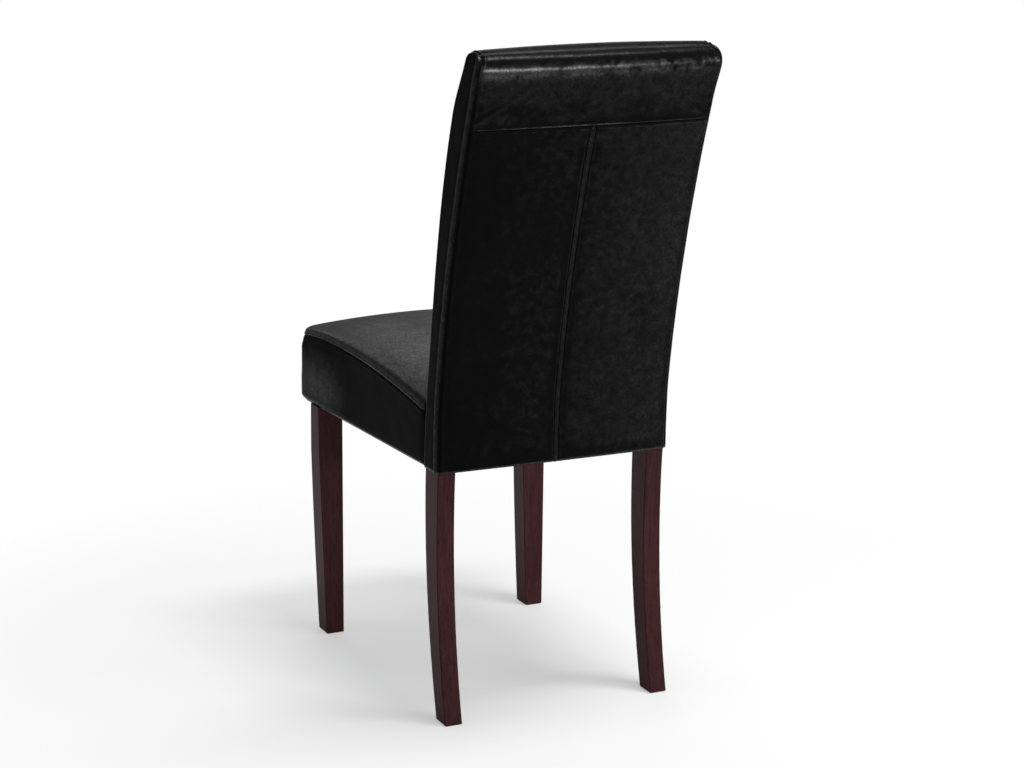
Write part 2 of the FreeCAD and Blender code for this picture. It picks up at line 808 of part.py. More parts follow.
def back_padding(inner):
    """Front, top and rear foam and the thin wadding down each side."""
    gap = size("soft_gap")
    low = size("hem_height") - size("turned_hem")
    high = size(f"{TOP} + top_foam")
    outer_x = size(POST_OUTER)
    far = reach()
    below_top = tilted_block(size(f"{TOP} - top_foam"), above=False)
    top_zone = tilted_block(size(f"{TOP} - top_foam"), above=True)
    rear_depth = size("leather + rear_foam")
    front_depth = size(f"{REAR_STACK} + post_depth + strap_thickness + fit_gap") + gap
    far_depth = size("2 * (back_depth_shoulder + back_front_crown)")
    behind = layer(-far_depth, rear_depth, low, high, -far, far)
    ahead = layer(front_depth, far_depth, low, high, -far, far)
    rail_room = Part.makeBox(
        2 * size(POST_INNER) + 2 * gap, far, size("rail_height") + gap * 2,
        Vector(-size(POST_INNER) - gap, -far, size(RAIL_LOW) - gap))
    bottom = Part.makeBox(2 * far, 2 * far, far, Vector(-far, -far, size(RAIL_LOW) - far))

    body_foam = inner.common(below_top)
    piece("back_foam_top", inner.common(top_zone))
    piece("back_foam_front", body_foam.common(ahead).cut(rail_room).cut(bottom))
    piece("back_foam_rear", body_foam.common(behind).cut(bottom))
    left = body_foam.common(slab(outer_x + size("fit_gap"), far)).cut(behind).cut(ahead).cut(bottom)
    piece("back_side_wadding_left", left)
    piece("back_side_wadding_right", mirrored(left))


def back_cover(outer, inner):
    """Sewn leather panels: two rear panels that meet at a centre seam, a band along the top, two boxed
    sides and the front panel. They meet edge to edge at their seams."""
    shell = outer.cut(inner).cut(post_holes(size("hem_height - leather"), size(RAIL_LOW)))
    far = reach()
    seam_x = size("back_width / 2 - side_seam_inset")
    low = size("hem_height") - size("turned_hem")
    high = size(f"{TOP} + top_foam")
    middle_depth = size("back_depth_waist / 2")
    far_depth = size("2 * (back_depth_shoulder + back_front_crown)")
    behind = layer(-far_depth, middle_depth, low, high, -far, far)
    band_zone = tilted_block(size(f"{TOP} - band_height"), above=True)
    top_front = size("back_depth_top - top_roll_radius / 2")
    band_behind = layer(-far_depth, top_front, low, high, -far, far)

    left = shell.common(slab(seam_x, far))
    piece("back_cover_side_left", left)
    piece("back_cover_side_right", mirrored(left))
    middle = shell.common(slab(-seam_x, seam_x))
    rear = middle.common(behind).cut(band_zone)
    piece("back_cover_rear_left", rear.common(slab(0, far)))
    piece("back_cover_rear_right", rear.common(slab(-far, 0)))
    top_zone = tilted_block(size(f"{TOP} - top_roll_radius"), above=True)
    band = middle.common(band_zone).common(behind.fuse(band_behind.common(top_zone)))
    piece("back_cover_top_band", band)
    piece("back_cover_front_panel", middle.cut(rear).cut(band).cut(bolt_holes()))


# Seat assembly: frame


def front_leg(label, side):
    """Tapered leg that runs on upwards as the corner post of the seat frame. It is sawn from two sides:
    the side outline is padded, the waste of the front outline is cut away, and the post stands on top."""
    body = new_body(label)
    foot_rear = f"{FRONT_LEG_REAR} + front_foot_kick"
    side_corners = [
        (foot_rear, "0"),
        (FRONT_LEG_REAR, "hem_height"),
        (FRONT_LEG_FACE, "hem_height"),
        (FRONT_LEG_FACE, "hem_height - taper_start"),
        (f"{foot_rear} - front_foot_depth", "0"),
    ]
    start = FRONT_LEG_INNER if side > 0 else f"-({FRONT_LEG_OUTER})"
    sketch = outline(sketch_on(body, "YZ_Plane", start), side_corners, {3: "front_leg_swell"})
    pad(body, sketch, "front_leg_width")

    outer = side * size(FRONT_LEG_OUTER)
    inner = side * size(FRONT_LEG_INNER)
    outer_foot = outer - side * size("front_foot_draw")
    inner_foot = outer_foot - side * size("front_foot_width")
    hem = size("hem_height")
    taper = size("hem_height - taper_start")
    clear = side * size("front_leg_width")
    pocket(body, outline(sketch_on(body, "XZ_Plane"), [
        (outer_foot, 0), (outer, taper), (outer + clear, taper), (outer + clear, 0)]))
    pocket(body, outline(sketch_on(body, "XZ_Plane"), [
        (inner_foot, 0), (inner, hem), (inner - clear, hem), (inner - clear, 0)]))
    finish_leg(body)

    post_outer = side * (rail_outer(size(FRONT_LEG_REAR)) - size("fit_gap"))
    sketch = rectangle(sketch_on(body, "XY_Plane", "hem_height"), inner, FRONT_LEG_FACE,
                       post_outer, FRONT_LEG_REAR)
    pad(body, sketch, f"{RAIL_HIGH} - hem_height")
    drill_front_leg(body, side)


def seat_dowel_heights():
    middle = size(f"{RAIL_LOW} + rail_height / 2")
    return [middle + offset for offset in dowel_offsets()]


def front_rail_middle():
    """Distance of the middle of the front rail from the hem of the back."""
    return size(f"{FRONT_LEG_FACE} + rail_thickness / 2")


def side_rail_middle(y):
    return rail_outer(y) - size("rail_thickness / 2")


def drill_front_leg(body, side):
    """Dowel holes in a front leg for the front rail and for the side rail."""
    radius = "dowel_diameter / 2 + fit_gap"
    depth = "dowel_length / 2 + fit_gap"
    face = FRONT_LEG_INNER if side > 0 else f"-({FRONT_LEG_INNER})"
    centres = [(front_rail_middle(), height) for height in seat_dowel_heights()]
    pocket(body, circles(sketch_on(body, "YZ_Plane", face), centres, radius), depth, reverse=side > 0)
    x = side * side_rail_middle(size(FRONT_LEG_REAR))
    stagger = size("dowel_diameter + rail_thickness / 4")
    centres = [(x, height + stagger) for height in seat_dowel_heights()]
    sketch = circles(sketch_on(body, "XZ_Plane", f"-({FRONT_LEG_REAR})"), centres, radius)
    pocket(body, sketch, depth, reverse=True)


def seat_rail_front():
    """Front rail between the front legs, flush with their front faces."""
    body = new_body("seat_rail_front")
    end = f"{FRONT_LEG_INNER} - fit_gap"
    sketch = rectangle(sketch_on(body, "XY_Plane", RAIL_LOW),
                       f"-({end})", FRONT_LEG_FACE, end, f"{FRONT_LEG_FACE} + rail_thickness")
    pad(body, sketch, "rail_height")
    centres = [(front_rail_middle(), height) for height in seat_dowel_heights()]
    for side, face in ((1, end), (-1, f"-({end})")):
        holes = circles(sketch_on(body, "YZ_Plane", face), centres, "dowel_diameter / 2 + fit_gap")
        pocket(body, holes, "dowel_length / 2 + fit_gap", reverse=side < 0)


def seat_rail_rear():
    """Rear rail across the whole frame, with the clearance holes for the bolts into the back."""
    outer = rail_outer(size(REAR_RAIL_BACK))
    body = new_body("seat_rail_rear")
    sketch = rectangle(sketch_on(body, "XY_Plane", RAIL_LOW), -outer, REAR_RAIL_FACE, outer, REAR_RAIL_BACK)
    pad(body, sketch, "rail_height")
    radius = "bolt_diameter / 2 + bolt_gap"
    pocket(body, circles(sketch_on(body, "XZ_Plane"), bolt_places(), radius))
    x = side_rail_middle(size(REAR_RAIL_FACE))
    centres = [(side * x, height) for side in (1, -1) for height in seat_dowel_heights()]
    face = f"-({REAR_RAIL_FACE})"
    sketch = circles(sketch_on(body, "XZ_Plane", face), centres, "dowel_diameter / 2 + fit_gap")
    pocket(body, sketch, "dowel_length / 2 + fit_gap - rail_thickness / 4")


def seat_rail_side(label, side):
    """Side rail from the rear of the front leg to the rear rail, tapered inwards with the seat."""
    body = new_body(label)
    front = size(FRONT_LEG_REAR) + size("fit_gap")
    rear = size(REAR_RAIL_FACE) - size("fit_gap")
    thick = size("rail_thickness")
    corners = [
        (side * rail_outer(front), front),
        (side * rail_outer(rear), rear),
        (side * (rail_outer(rear) - thick), rear),
        (side * (rail_outer(front) - thick), front),
    ]
    pad(body, outline(sketch_on(body, "XY_Plane", RAIL_LOW), corners), "rail_height")
    stagger = size("dowel_diameter + rail_thickness / 4")
    radius = "dowel_diameter / 2 + fit_gap"
    front_centres = [(side * side_rail_middle(size(FRONT_LEG_REAR)), height + stagger)
                     for height in seat_dowel_heights()]
    rear_centres = [(side * side_rail_middle(size(REAR_RAIL_FACE)), height) for height in seat_dowel_heights()]
    sketch = circles(sketch_on(body, "XZ_Plane", -front), front_centres, radius)
    pocket(body, sketch, "dowel_length / 2 + fit_gap")
    sketch = circles(sketch_on(body, "XZ_Plane", -rear), rear_centres, radius)
    pocket(body, sketch, "dowel_length / 2 + fit_gap + rail_thickness / 4", reverse=True)


def seat_dowels():
    members = []
    stagger = size("dowel_diameter + rail_thickness / 4")
    set_forward = size("rail_thickness / 4")
    for side in (1, -1):
        for height in seat_dowel_heights():
            inner = side * size(FRONT_LEG_INNER)
            leg_rear = size(FRONT_LEG_REAR)
            rail_face = size(REAR_RAIL_FACE)
            joints = [
                (Vector(inner, front_rail_middle(), height), Vector(1, 0, 0)),
                (Vector(side * side_rail_middle(leg_rear), leg_rear, height + stagger), Vector(0, 1, 0)),
                (Vector(side * side_rail_middle(rail_face), rail_face - set_forward, height), Vector(0, 1, 0)),
            ]
            for middle, direction in joints:
                members.append(dowel(f"seat_{len(members)}", middle, direction))
    group("seat_dowels", members)


def block_plan(end, side):
    """Plan outline of a corner block, then its end on the cross rail and its end on the side rail.
    A front block is notched round the leg."""
    leg = size("block_leg")
    gap = size("fit_gap")
    nose = size("block_nose")
    wall = size("rail_thickness") + gap
    inward = -1 if end == "rear" else 1
    y = size(REAR_RAIL_FACE) - gap if end == "rear" else size(FRONT_LEG_FACE) + wall
    far_y = y + inward * leg
    far_x = rail_outer(far_y) - wall
    leg_x = size(FRONT_LEG_INNER) - gap
    leg_y = size(FRONT_LEG_REAR) + gap
    if end == "rear":
        near = [(rail_outer(y) - wall, y)]
    else:
        near = [(rail_outer(leg_y) - wall, leg_y), (leg_x, leg_y), (leg_x, y)]
    cross_x = near[-1][0] - leg
    corners = near + [(cross_x, y), (cross_x, y + inward * nose), (far_x - nose, far_y), (far_x, far_y)]
    return [(side * x, y) for x, y in corners], (side * cross_x, y), (side * far_x, far_y)


def block_screws(end, side):
    """Start and direction of the two screws through a corner block, one square to each rail."""
    grip = size("screw_grip")
    inset = size("block_nose / 2")
    height = size(f"{RAIL_HIGH} - block_height / 2")
    outward = 1 if end == "rear" else -1
    _, cross, along = block_plan(end, side)
    return [
        (Vector(cross[0] + side * inset, cross[1] - outward * grip, height), Vector(0, outward, 0)),
        (Vector(along[0] - side * grip, along[1] + outward * inset, height), Vector(side, 0, 0)),
    ]


def corner_block(label, end, side):
    """Glued and screwed block that braces a corner of the seat frame."""
    block = new_body(label + "_blank", kept=False)
    corners, _, _ = block_plan(end, side)
    pad(block, outline(sketch_on(block, "XY_Plane", f"{RAIL_HIGH} - block_height"), corners), "block_height")
    document.recompute()
    return drilled(label, block, block_screws(end, side))


def drilled(label, blank, screws):
    """The blank less a clearance hole and a countersink for each screw."""
    tools = []
    for start, direction in screws:
        turn = FreeCAD.Rotation(Vector(0, 0, 1), direction)
        shank = document.addObject("Part::Cylinder", "screw_hole")
        shank.setExpression("Radius", bound("screw_diameter / 2 + fit_gap"))
        shank.setExpression("Height", bound("screw_length + fit_gap"))
        shank.Placement = FreeCAD.Placement(start, turn)
        head = document.addObject("Part::Cylinder", "head_hole")
        head.setExpression("Radius", bound("screw_head_diameter / 2 + fit_gap"))
        head.setExpression("Height", bound("block_leg"))
        head.Placement = FreeCAD.Placement(start - direction * size("block_leg"), turn)
        tools += [shank, head]
    tool = document.addObject("Part::Compound", "holes")
    tool.Links = tools
    result = document.addObject("Part::Cut", label)
    result.Label = label
    result.Base = blank
    result.Tool = tool
    parts.append(result)
    return result


def screw(number, start, direction):
    """Wood screw with a flat head that seats in the block's counterbore."""
    body = new_body(f"screw_{number}", kept=False)
    revolve(body, [
        ("0", "-screw_diameter / 2"), ("screw_head_diameter / 2", "-screw_diameter / 2"),
        ("screw_head_diameter / 2", "0"), ("screw_diameter / 2", "0"),
        ("screw_diameter / 2", "screw_length - screw_diameter"), ("0", "screw_length"),
    ])
    body.Placement = FreeCAD.Placement(start, FreeCAD.Rotation(Vector(0, 0, 1), direction))
    return body


# Seat assembly: straps, padding and cover


def woven_strap(start, end, crossings, first_over, width):
    """Strap along +X from start to end in its own frame, over and under straps that cross it."""
    rise = size("strap_thickness + fit_gap")
    thick = size("strap_thickness")
    half = size("strap_width / 2 + strap_thickness")
    path = [(start, 0)]
    over = first_over
    for crossing in crossings:
        level = rise if over else 0
        path += [(crossing - half, level), (crossing + half, level)]
        over = not over
    path.append((end, 0))
    lower = [Vector(along, 0, level) for along, level in path]
    upper = [Vector(along, 0, level + thick) for along, level in reversed(path)]
    face = Part.Face(Part.makePolygon(lower + upper + lower[:1]))
    strap = face.extrude(Vector(0, width, 0))
    strap.translate(Vector(0, -width / 2, 0))
    return strap


def seat_webbing():
    """Two layers of elastic straps woven over and under each other and stapled to the tops of the rails."""
    top = size(RAIL_HIGH) + size("fit_gap")
    width = size("strap_width")
    back = size(REAR_RAIL_BACK) - size("rail_thickness / 4")
    front = size(FRONT_LEG_FACE) + size("rail_thickness / 4")
    middle = (back + front) / 2
    lengthwise = centred(4, size("seat_strap_pitch"))
    crosswise = [middle + offset for offset in centred(4, size("seat_cross_strap_pitch"))]
    runs = []
    for number, x in enumerate(lengthwise):
        strap = woven_strap(front, back, crosswise, number % 2 == 0, width)
        strap.rotate(Vector(0, 0, 0), Vector(0, 0, 1), 90)
        strap.translate(Vector(x, 0, top))
        runs.append(strap)
    piece("seat_webbing_lengthwise", Part.makeCompound(runs))
    runs = []
    for number, y in enumerate(crosswise):
        half = rail_outer(y) - size("rail_thickness / 4")
        strap = woven_strap(-half, half, lengthwise, number % 2 == 1, width)
        strap.translate(Vector(0, y, top))
        runs.append(strap)
    piece("seat_webbing_crosswise", Part.makeCompound(runs))


def frame_prism(low, high, grow):
    """The space round the seat frame between two heights, from rail face to rail face, grown by a gap."""
    front = size(FRONT_LEG_FACE) - grow
    rear = 0
    corners = [
        Vector(rail_outer(front) + grow, front, low), Vector(rail_outer(rear) + grow, rear, low),
        Vector(-rail_outer(rear) - grow, rear, low), Vector(-rail_outer(front) - grow, front, low),
    ]
    return Part.Face(Part.makePolygon(corners + corners[:1])).extrude(Vector(0, 0, high - low))


def seat_padding(inner):
    """Crowned seat foam on the straps, the soft front edge and a thin layer down each side rail."""
    gap = size("soft_gap")
    far = reach()
    deck = size(RAIL_HIGH) + size("2 * strap_thickness + 2 * fit_gap") + gap
    below = Part.makeBox(2 * far, 2 * far, far, Vector(-far, -far, deck - far))
    frame = frame_prism(size("hem_height") - gap, deck + gap, gap)
    piece("seat_foam", inner.cut(below))
    skirt = inner.common(below).cut(frame)
    front = size(FRONT_LEG_FACE) - gap
    ahead = Part.makeBox(2 * far, far, 2 * far, Vector(-far, front - far, -far))
    piece("seat_front_foam", skirt.common(ahead))
    left = skirt.cut(ahead).common(slab(0, far))
    piece("seat_side_foam_left", left)
    piece("seat_side_foam_right", mirrored(left))


def front_leg_holes():
    """Room for the front legs' posts through the turned hem of the seat cover."""
    gap = size("soft_gap")
    inner = size(FRONT_LEG_INNER) - gap
    outer = rail_outer(size(FRONT_LEG_REAR)) + gap
    front = size(FRONT_LEG_FACE) - gap
    rear = size(FRONT_LEG_REAR) + gap
    hole = Part.makeBox(outer - inner, rear - front, size("turned_hem"),
                        Vector(inner, front, size("hem_height - turned_hem / 2")))
    return Part.makeCompound([hole, mirrored(hole)])


def below_seam():
    """Everything below the arch of the seam, straight across the seat."""
    half = reach()
    first = seat_front() - size("seat_corner_radius")
    crest = seat_front() + size("seam_crest_distance")
    last = seat_rear() + size("seat_corner_radius")
    floor = size("hem_height") - size("turned_hem")

    def at(y):
        return Vector(0, y, seam_height(y))

    edges = [
        Part.Arc(at(first), at((first + crest) / 2), at(crest)).toShape(),
        Part.Arc(at(crest), at((crest + last) / 2), at(last)).toShape(),
        Part.LineSegment(at(last), Vector(0, last, floor)).toShape(),
        Part.LineSegment(Vector(0, last, floor), Vector(0, first, floor)).toShape(),
        Part.LineSegment(Vector(0, first, floor), at(first)).toShape(),
    ]
    return across(edges, -half, half)


def seat_cover(outer, inner):
    """Leather boxing round the front and sides, its turned hem, the top panel and the hidden rear strip."""
    far = reach()
    seam_zone = below_seam()
    hem_opening = Part.Face(seat_plan(size("turned_hem"), size("hem_height - leather"))).extrude(
        Vector(0, 0, size("3 * leather")))
    shell = outer.cut(inner).cut(hem_opening).cut(front_leg_holes())
    top = shell.cut(seam_zone)
    piece("seat_cover_top_panel", top)
    lower = shell.common(seam_zone)
    rear = seat_rear() - size("leather")
    strip_zone = Part.makeBox(2 * far, far, 2 * far, Vector(-far, rear, -far))
    piece("seat_cover_boxing", lower.cut(strip_zone))
    piece("seat_cover_rear_strip", lower.common(strip_zone).cut(bolt_holes()))


def dust_cover():
    """Black cambric stapled under the frame, cut away round the front legs."""
    low = size("hem_height - cambric")
    sheet_form = Part.Face(seat_plan(size("cambric_inset"), low)).extrude(Vector(0, 0, size("cambric")))
    piece("dust_cover", sheet_form.cut(front_leg_holes()))


# What joins the two assemblies


def back_bolts():
    """Bolts from inside the seat's rear rail into tee nuts behind the back's bottom rail, on washers."""
    bolts = []
    washers = []
    nuts = []
    rail_face = size(REAR_RAIL_FACE)
    nut_seat = size("bolted_rail_thickness") - bottom_rail_front()
    toward_back = FreeCAD.Rotation(Vector(0, 0, 1), Vector(0, 1, 0))
    toward_seat = FreeCAD.Rotation(Vector(0, 0, 1), Vector(0, -1, 0))
    for number, (x, height) in enumerate(bolt_places()):
        bolt = new_body(f"bolt_{number}", kept=False)
        revolve(bolt, [
            ("0", "-bolt_head_height"), ("bolt_head_diameter / 3", "-bolt_head_height"),
            ("bolt_head_diameter / 2", "-bolt_head_height / 2"), ("bolt_head_diameter / 2", "0"),
            ("bolt_diameter / 2", "0"), ("bolt_diameter / 2", "bolt_length"), ("0", "bolt_length"),
        ])
        seat = rail_face - size("washer_thickness")
        bolt.Placement = FreeCAD.Placement(Vector(x, seat, height), toward_back)
        bolts.append(bolt)

        washer = new_body(f"washer_{number}", kept=False)
        revolve(washer, [
            ("bolt_diameter / 2 + bolt_gap", "0"), ("washer_diameter / 2", "0"),
            ("washer_diameter / 2", "washer_thickness"), ("bolt_diameter / 2 + bolt_gap", "washer_thickness"),
        ])
        washer.Placement = FreeCAD.Placement(Vector(x, seat, height), toward_back)
        washers.append(washer)

        nut = new_body(f"tee_nut_{number}", kept=False)
        revolve(nut, [
            ("bolt_diameter / 2 + fit_gap", "-tee_nut_plate"), ("tee_nut_flange / 2", "-tee_nut_plate"),
            ("tee_nut_flange / 2", "0"), ("tee_nut_barrel / 2", "0"),
            ("tee_nut_barrel / 2", "tee_nut_length"), ("bolt_diameter / 2 + fit_gap", "tee_nut_length"),
        ])
        nut.Placement = FreeCAD.Placement(Vector(x, nut_seat, height), toward_seat)
        nuts.append(nut)
    group("back_bolts", bolts)
    group("back_washers", washers)
    group("back_tee_nuts", nuts)


def drill_bottom_rail(rail):
    """Holes through the back's bottom rail for the bolts, and for the tee nuts' barrels from behind."""
    height = size(f"{RAIL_LOW} + rail_height / 2")
    centres = [(x, z - height) for x, z in bolt_places()]
    pocket(rail, circles(sketch_on(rail, "XZ_Plane"), centres, "bolt_diameter / 2 + bolt_gap"))
    sketch = circles(sketch_on(rail, "XZ_Plane", "-bolted_rail_thickness / 2"), centres,
                     "tee_nut_barrel / 2 + fit_gap")
    pocket(rail, sketch, "tee_nut_length + fit_gap", reverse=True)


def drilled_rails():
    """Pilot holes in the seat's rails for the corner blocks' screws."""
    pilots = {"seat_rail_front": [], "seat_rail_rear": [], "seat_rail_left": [], "seat_rail_right": []}
    for end in ("front", "rear"):
        for side, name in ((1, "left"), (-1, "right")):
            first, second = block_screws(end, side)
            pilots[f"seat_rail_{end}"].append(first)
            pilots[f"seat_rail_{name}"].append(second)
    for label, screws in pilots.items():
        blank = next(part for part in parts if part.Label == label)
        parts.remove(blank)
        blank.Label = label + "_blank"
        tools = []
        for start, direction in screws:
            pilot = document.addObject("Part::Cylinder", "pilot")
            pilot.setExpression("Radius", bound("screw_diameter / 2 + fit_gap"))
            pilot.setExpression("Height", bound("screw_length + fit_gap"))
            pilot.Placement = FreeCAD.Placement(start, FreeCAD.Rotation(Vector(0, 0, 1), direction))
            tools.append(pilot)
        tool = document.addObject("Part::Compound", "pilots")
        tool.Links = tools
        rail = document.addObject("Part::Cut", label)
        rail.Label = label
        rail.Base = blank
        rail.Tool = tool
        parts.append(rail)


# The order of assembly

rear_leg("rear_leg_left", 1)
rear_leg("rear_leg_right", -1)
for frame in back_rail_frames():
    rail = back_rail(*frame)
    if frame[0] == "back_bottom_rail":
        drill_bottom_rail(rail)
back_dowels()
back_board()
back_webbing()
back_inner = back_form(size("leather"))
back_padding(back_inner)
back_cover(back_form(0.0), back_inner)

front_leg("front_leg_left", 1)
front_leg("front_leg_right", -1)
seat_rail_front()
seat_rail_rear()
seat_rail_side("seat_rail_left", 1)
seat_rail_side("seat_rail_right", -1)
drilled_rails()
seat_dowels()
screws = []
for end in ("front", "rear"):
    for side, name in ((1, "left"), (-1, "right")):
        corner_block(f"corner_block_{end}_{name}", end, side)
        for start, direction in block_screws(end, side):
            screws.append(screw(len(screws), start, direction))
group("corner_block_screws", screws)
seat_webbing()
seat_inner = seat_form(size("leather"))
seat_padding(seat_inner)
seat_cover(seat_form(0.0), seat_inner)
dust_cover()
back_bolts()

document.recompute()

# Every piece moves together so that the origin lies under the middle of the whole chair.
points = [
    point for part in parts if part.Label.startswith(("seat_cover", "back_cover"))
    for point in part.Shape.tessellate(0.05)[0]
]
shift = -(min(point.y for point in points) + max(point.y for point in points)) / 2
for part in parts:
    part.Placement = FreeCAD.Placement(Vector(0, shift, 0), FreeCAD.Rotation()) * part.Placement
document.recompute()

for thing in document.Objects:
    if "Invalid" in thing.State or "Error" in thing.State:
        raise ValueError(f"{thing.Label} failed")
for part in parts:
    if part.Shape.isNull() or not part.Shape.isValid():
        raise ValueError(f"{part.Label} has no valid solid")

os.makedirs("parts", exist_ok=True)
for part in parts:
    part.Shape.exportStep(f"parts/{part.Label}.step")
    print(f"{part.Label}: {len(part.Shape.Solids)} solids, {part.Shape.Volume / 1000:.1f} cm3")
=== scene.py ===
import bpy
import bmesh
import math
import numpy as np
from mathutils import Matrix, Vector, noise
from mathutils.bvhtree import BVHTree


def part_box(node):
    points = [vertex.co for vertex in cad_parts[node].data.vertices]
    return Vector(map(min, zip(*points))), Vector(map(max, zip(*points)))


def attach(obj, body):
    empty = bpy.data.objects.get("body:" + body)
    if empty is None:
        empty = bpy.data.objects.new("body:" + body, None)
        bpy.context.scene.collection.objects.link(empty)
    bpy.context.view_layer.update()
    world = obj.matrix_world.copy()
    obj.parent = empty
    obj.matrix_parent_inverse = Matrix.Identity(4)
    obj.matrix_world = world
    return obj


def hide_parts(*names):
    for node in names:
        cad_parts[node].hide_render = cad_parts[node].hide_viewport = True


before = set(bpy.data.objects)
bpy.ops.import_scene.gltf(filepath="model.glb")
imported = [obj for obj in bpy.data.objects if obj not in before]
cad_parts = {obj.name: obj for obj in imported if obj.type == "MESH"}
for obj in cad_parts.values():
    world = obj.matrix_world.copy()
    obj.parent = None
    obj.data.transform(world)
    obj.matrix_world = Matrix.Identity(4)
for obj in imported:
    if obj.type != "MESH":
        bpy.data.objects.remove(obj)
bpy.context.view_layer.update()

scene = bpy.context.scene
scene.view_settings.view_transform = "Standard"

# Studio. The chair stands on a wide white floor whose far part glows white, so that it passes into the
# white background, and a shadow stays round the feet. The light is a pale world and five soft lamps.


class Value:
    """A number or colour that changes over a surface. Sums on it are written as on paper."""

    def __init__(self, finish, socket):
        self.finish = finish
        self.socket = socket

    def worked(self, operation, first, second):
        return self.finish.node("Math", {"operation": operation}, {0: first, 1: second})

    def __add__(self, other):
        return self.worked("ADD", self, other)

    def __sub__(self, other):
        return self.worked("SUBTRACT", self, other)

    def __rsub__(self, other):
        return self.worked("SUBTRACT", other, self)

    def __mul__(self, other):
        return self.worked("MULTIPLY", self, other)

    __radd__ = __add__
    __rmul__ = __mul__


class Finish:
    """The nodes of a material or of the world, added one by one."""

    def __init__(self, name, kind="materials"):
        self.owner = getattr(bpy.data, kind).new(name)
        self.owner.use_nodes = True
        self.tree = self.owner.node_tree
        self.tree.nodes.clear()

    def node(self, kind, settings=None, sockets=None, output=0):
        made = self.tree.nodes.new("ShaderNode" + kind)
        for name, value in (settings or {}).items():
            if name == "stops":
                stops = made.color_ramp.elements
                while len(stops) < len(value):
                    stops.new(1.0)
                for stop, (position, colour) in zip(stops, value):
                    stop.position = position
                    stop.color = (*colour, 1.0)
            else:
                setattr(made, name, value)
        for name, value in (sockets or {}).items():
            if isinstance(value, Value):
                self.tree.links.new(value.socket, made.inputs[name])
            else:
                made.inputs[name].default_value = value
        return Value(self, made.outputs[output]) if made.outputs else None

    def place(self, stretch=(1.0, 1.0, 1.0)):
        """Where a point of the piece lies, with each axis stretched or squeezed."""
        place = self.node("TexCoord", output=3)
        return self.node("VectorMath", {"operation": "MULTIPLY"}, {0: place, 1: stretch})

    def clouds(self, place, scale, detail=4.0, roughness=0.55):
        sockets = {"Vector": place, "Scale": scale, "Detail": detail, "Roughness": roughness}
        return self.node("TexNoise", {}, sockets)

    def cells(self, place, scale):
        return self.node("TexVoronoi", {}, {"Vector": place, "Scale": scale})

    def mapped(self, value, low, high, start, end):
        """The value passed from the range low to high into the range start to end."""
        return self.node("MapRange", {}, {"Value": value, 1: low, 2: high, 3: start, 4: end})

    def mix(self, share, first, second):
        """One colour passing into another."""
        return self.node("Mix", {"data_type": "RGBA"}, {0: share, 6: first, 7: second}, output=2)

    def relief(self, height, depth, strength=1.0):
        return self.node("Bump", {}, {"Height": height, "Distance": depth, "Strength": strength})

    def surface(self, **sockets):
        """Close the material with its shader. An underscore stands for a space in a socket's name."""
        sockets = {name.replace("_", " "): value for name, value in sockets.items()}
        shader = self.node("BsdfPrincipled", {}, sockets)
        self.node("OutputMaterial", {}, {"Surface": shader})
        return self.owner


def seen_straight(finish):
    """How far a ray shows the white background itself: wholly from the eye, and a share off shiny pieces."""
    share_in_gloss = 0.12
    camera = finish.node("LightPath", output=0)
    glossy = finish.node("LightPath", output=3)
    through = finish.node("LightPath", output=6)
    reflected = glossy * share_in_gloss + through
    return finish.node("Math", {"operation": "MAXIMUM"}, {0: camera, 1: reflected})


air = Finish("studio_air", "worlds")
scene.world = air.owner
around = air.node("Background", {}, {"Color": (0.93, 0.95, 1.0, 1.0), "Strength": 0.28})
backdrop = air.node("Background", {}, {"Color": (1.0, 1.0, 1.0, 1.0), "Strength": 1.0})
seen_air = seen_straight(air)
air.node("OutputWorld", {}, {"Surface": air.node("MixShader", {}, {0: seen_air, 1: around, 2: backdrop})})

floor_paint = Finish("floor_paint")
floor_spot = floor_paint.place()
from_chair = floor_paint.node("VectorMath", {"operation": "LENGTH"}, {0: floor_spot}, output=1)
far_part = floor_paint.mapped(from_chair, 0.2, 1.1, 0.35, 1.0)
floor_tone = floor_paint.clouds(floor_spot, 3.0)
matt = floor_paint.node("BsdfPrincipled", {}, {
    "Base Color": floor_paint.mix(floor_tone, (0.93, 0.93, 0.93, 1), (0.95, 0.95, 0.95, 1)),
    "Roughness": 0.8, "Specular IOR Level": 0.2})
glow = floor_paint.node("Emission", {}, {"Color": (1.0, 1.0, 1.0, 1.0), "Strength": 1.0})
glowing = far_part * seen_straight(floor_paint)
floor_paint.node("OutputMaterial", {}, {
    "Surface": floor_paint.node("MixShader", {}, {0: glowing, 1: matt, 2: glow})})
floor_mesh = bpy.data.meshes.new("floor")
floor_plan = bmesh.new()
bmesh.ops.create_circle(floor_plan, cap_ends=True, segments=72, radius=9.0)
floor_plan.to_mesh(floor_mesh)
floor_plan.free()
floor_mesh.materials.append(floor_paint.owner)


def set_up(name, data):
    """An object in the scene for a mesh, a lamp or a camera."""
    made = bpy.data.objects.new(name, data)
    scene.collection.objects.link(made)
    return made


floor = set_up("floor", floor_mesh)


def soft_lamp(name, place, target, width, depth, power, colour):
    """A rectangular lamp that shines from its place to a target and isn't seen itself."""
    lamp = bpy.data.lights.new(name, "AREA")
    lamp.shape = "RECTANGLE"
    lamp.size = width
    lamp.size_y = depth
    lamp.energy = power
    lamp.color = colour
    holder = set_up(name, lamp)
    holder.location = place
    aim = Vector(target) - Vector(place)
    holder.rotation_euler = aim.to_track_quat("-Z", "Y").to_euler()
    holder.visible_camera = False


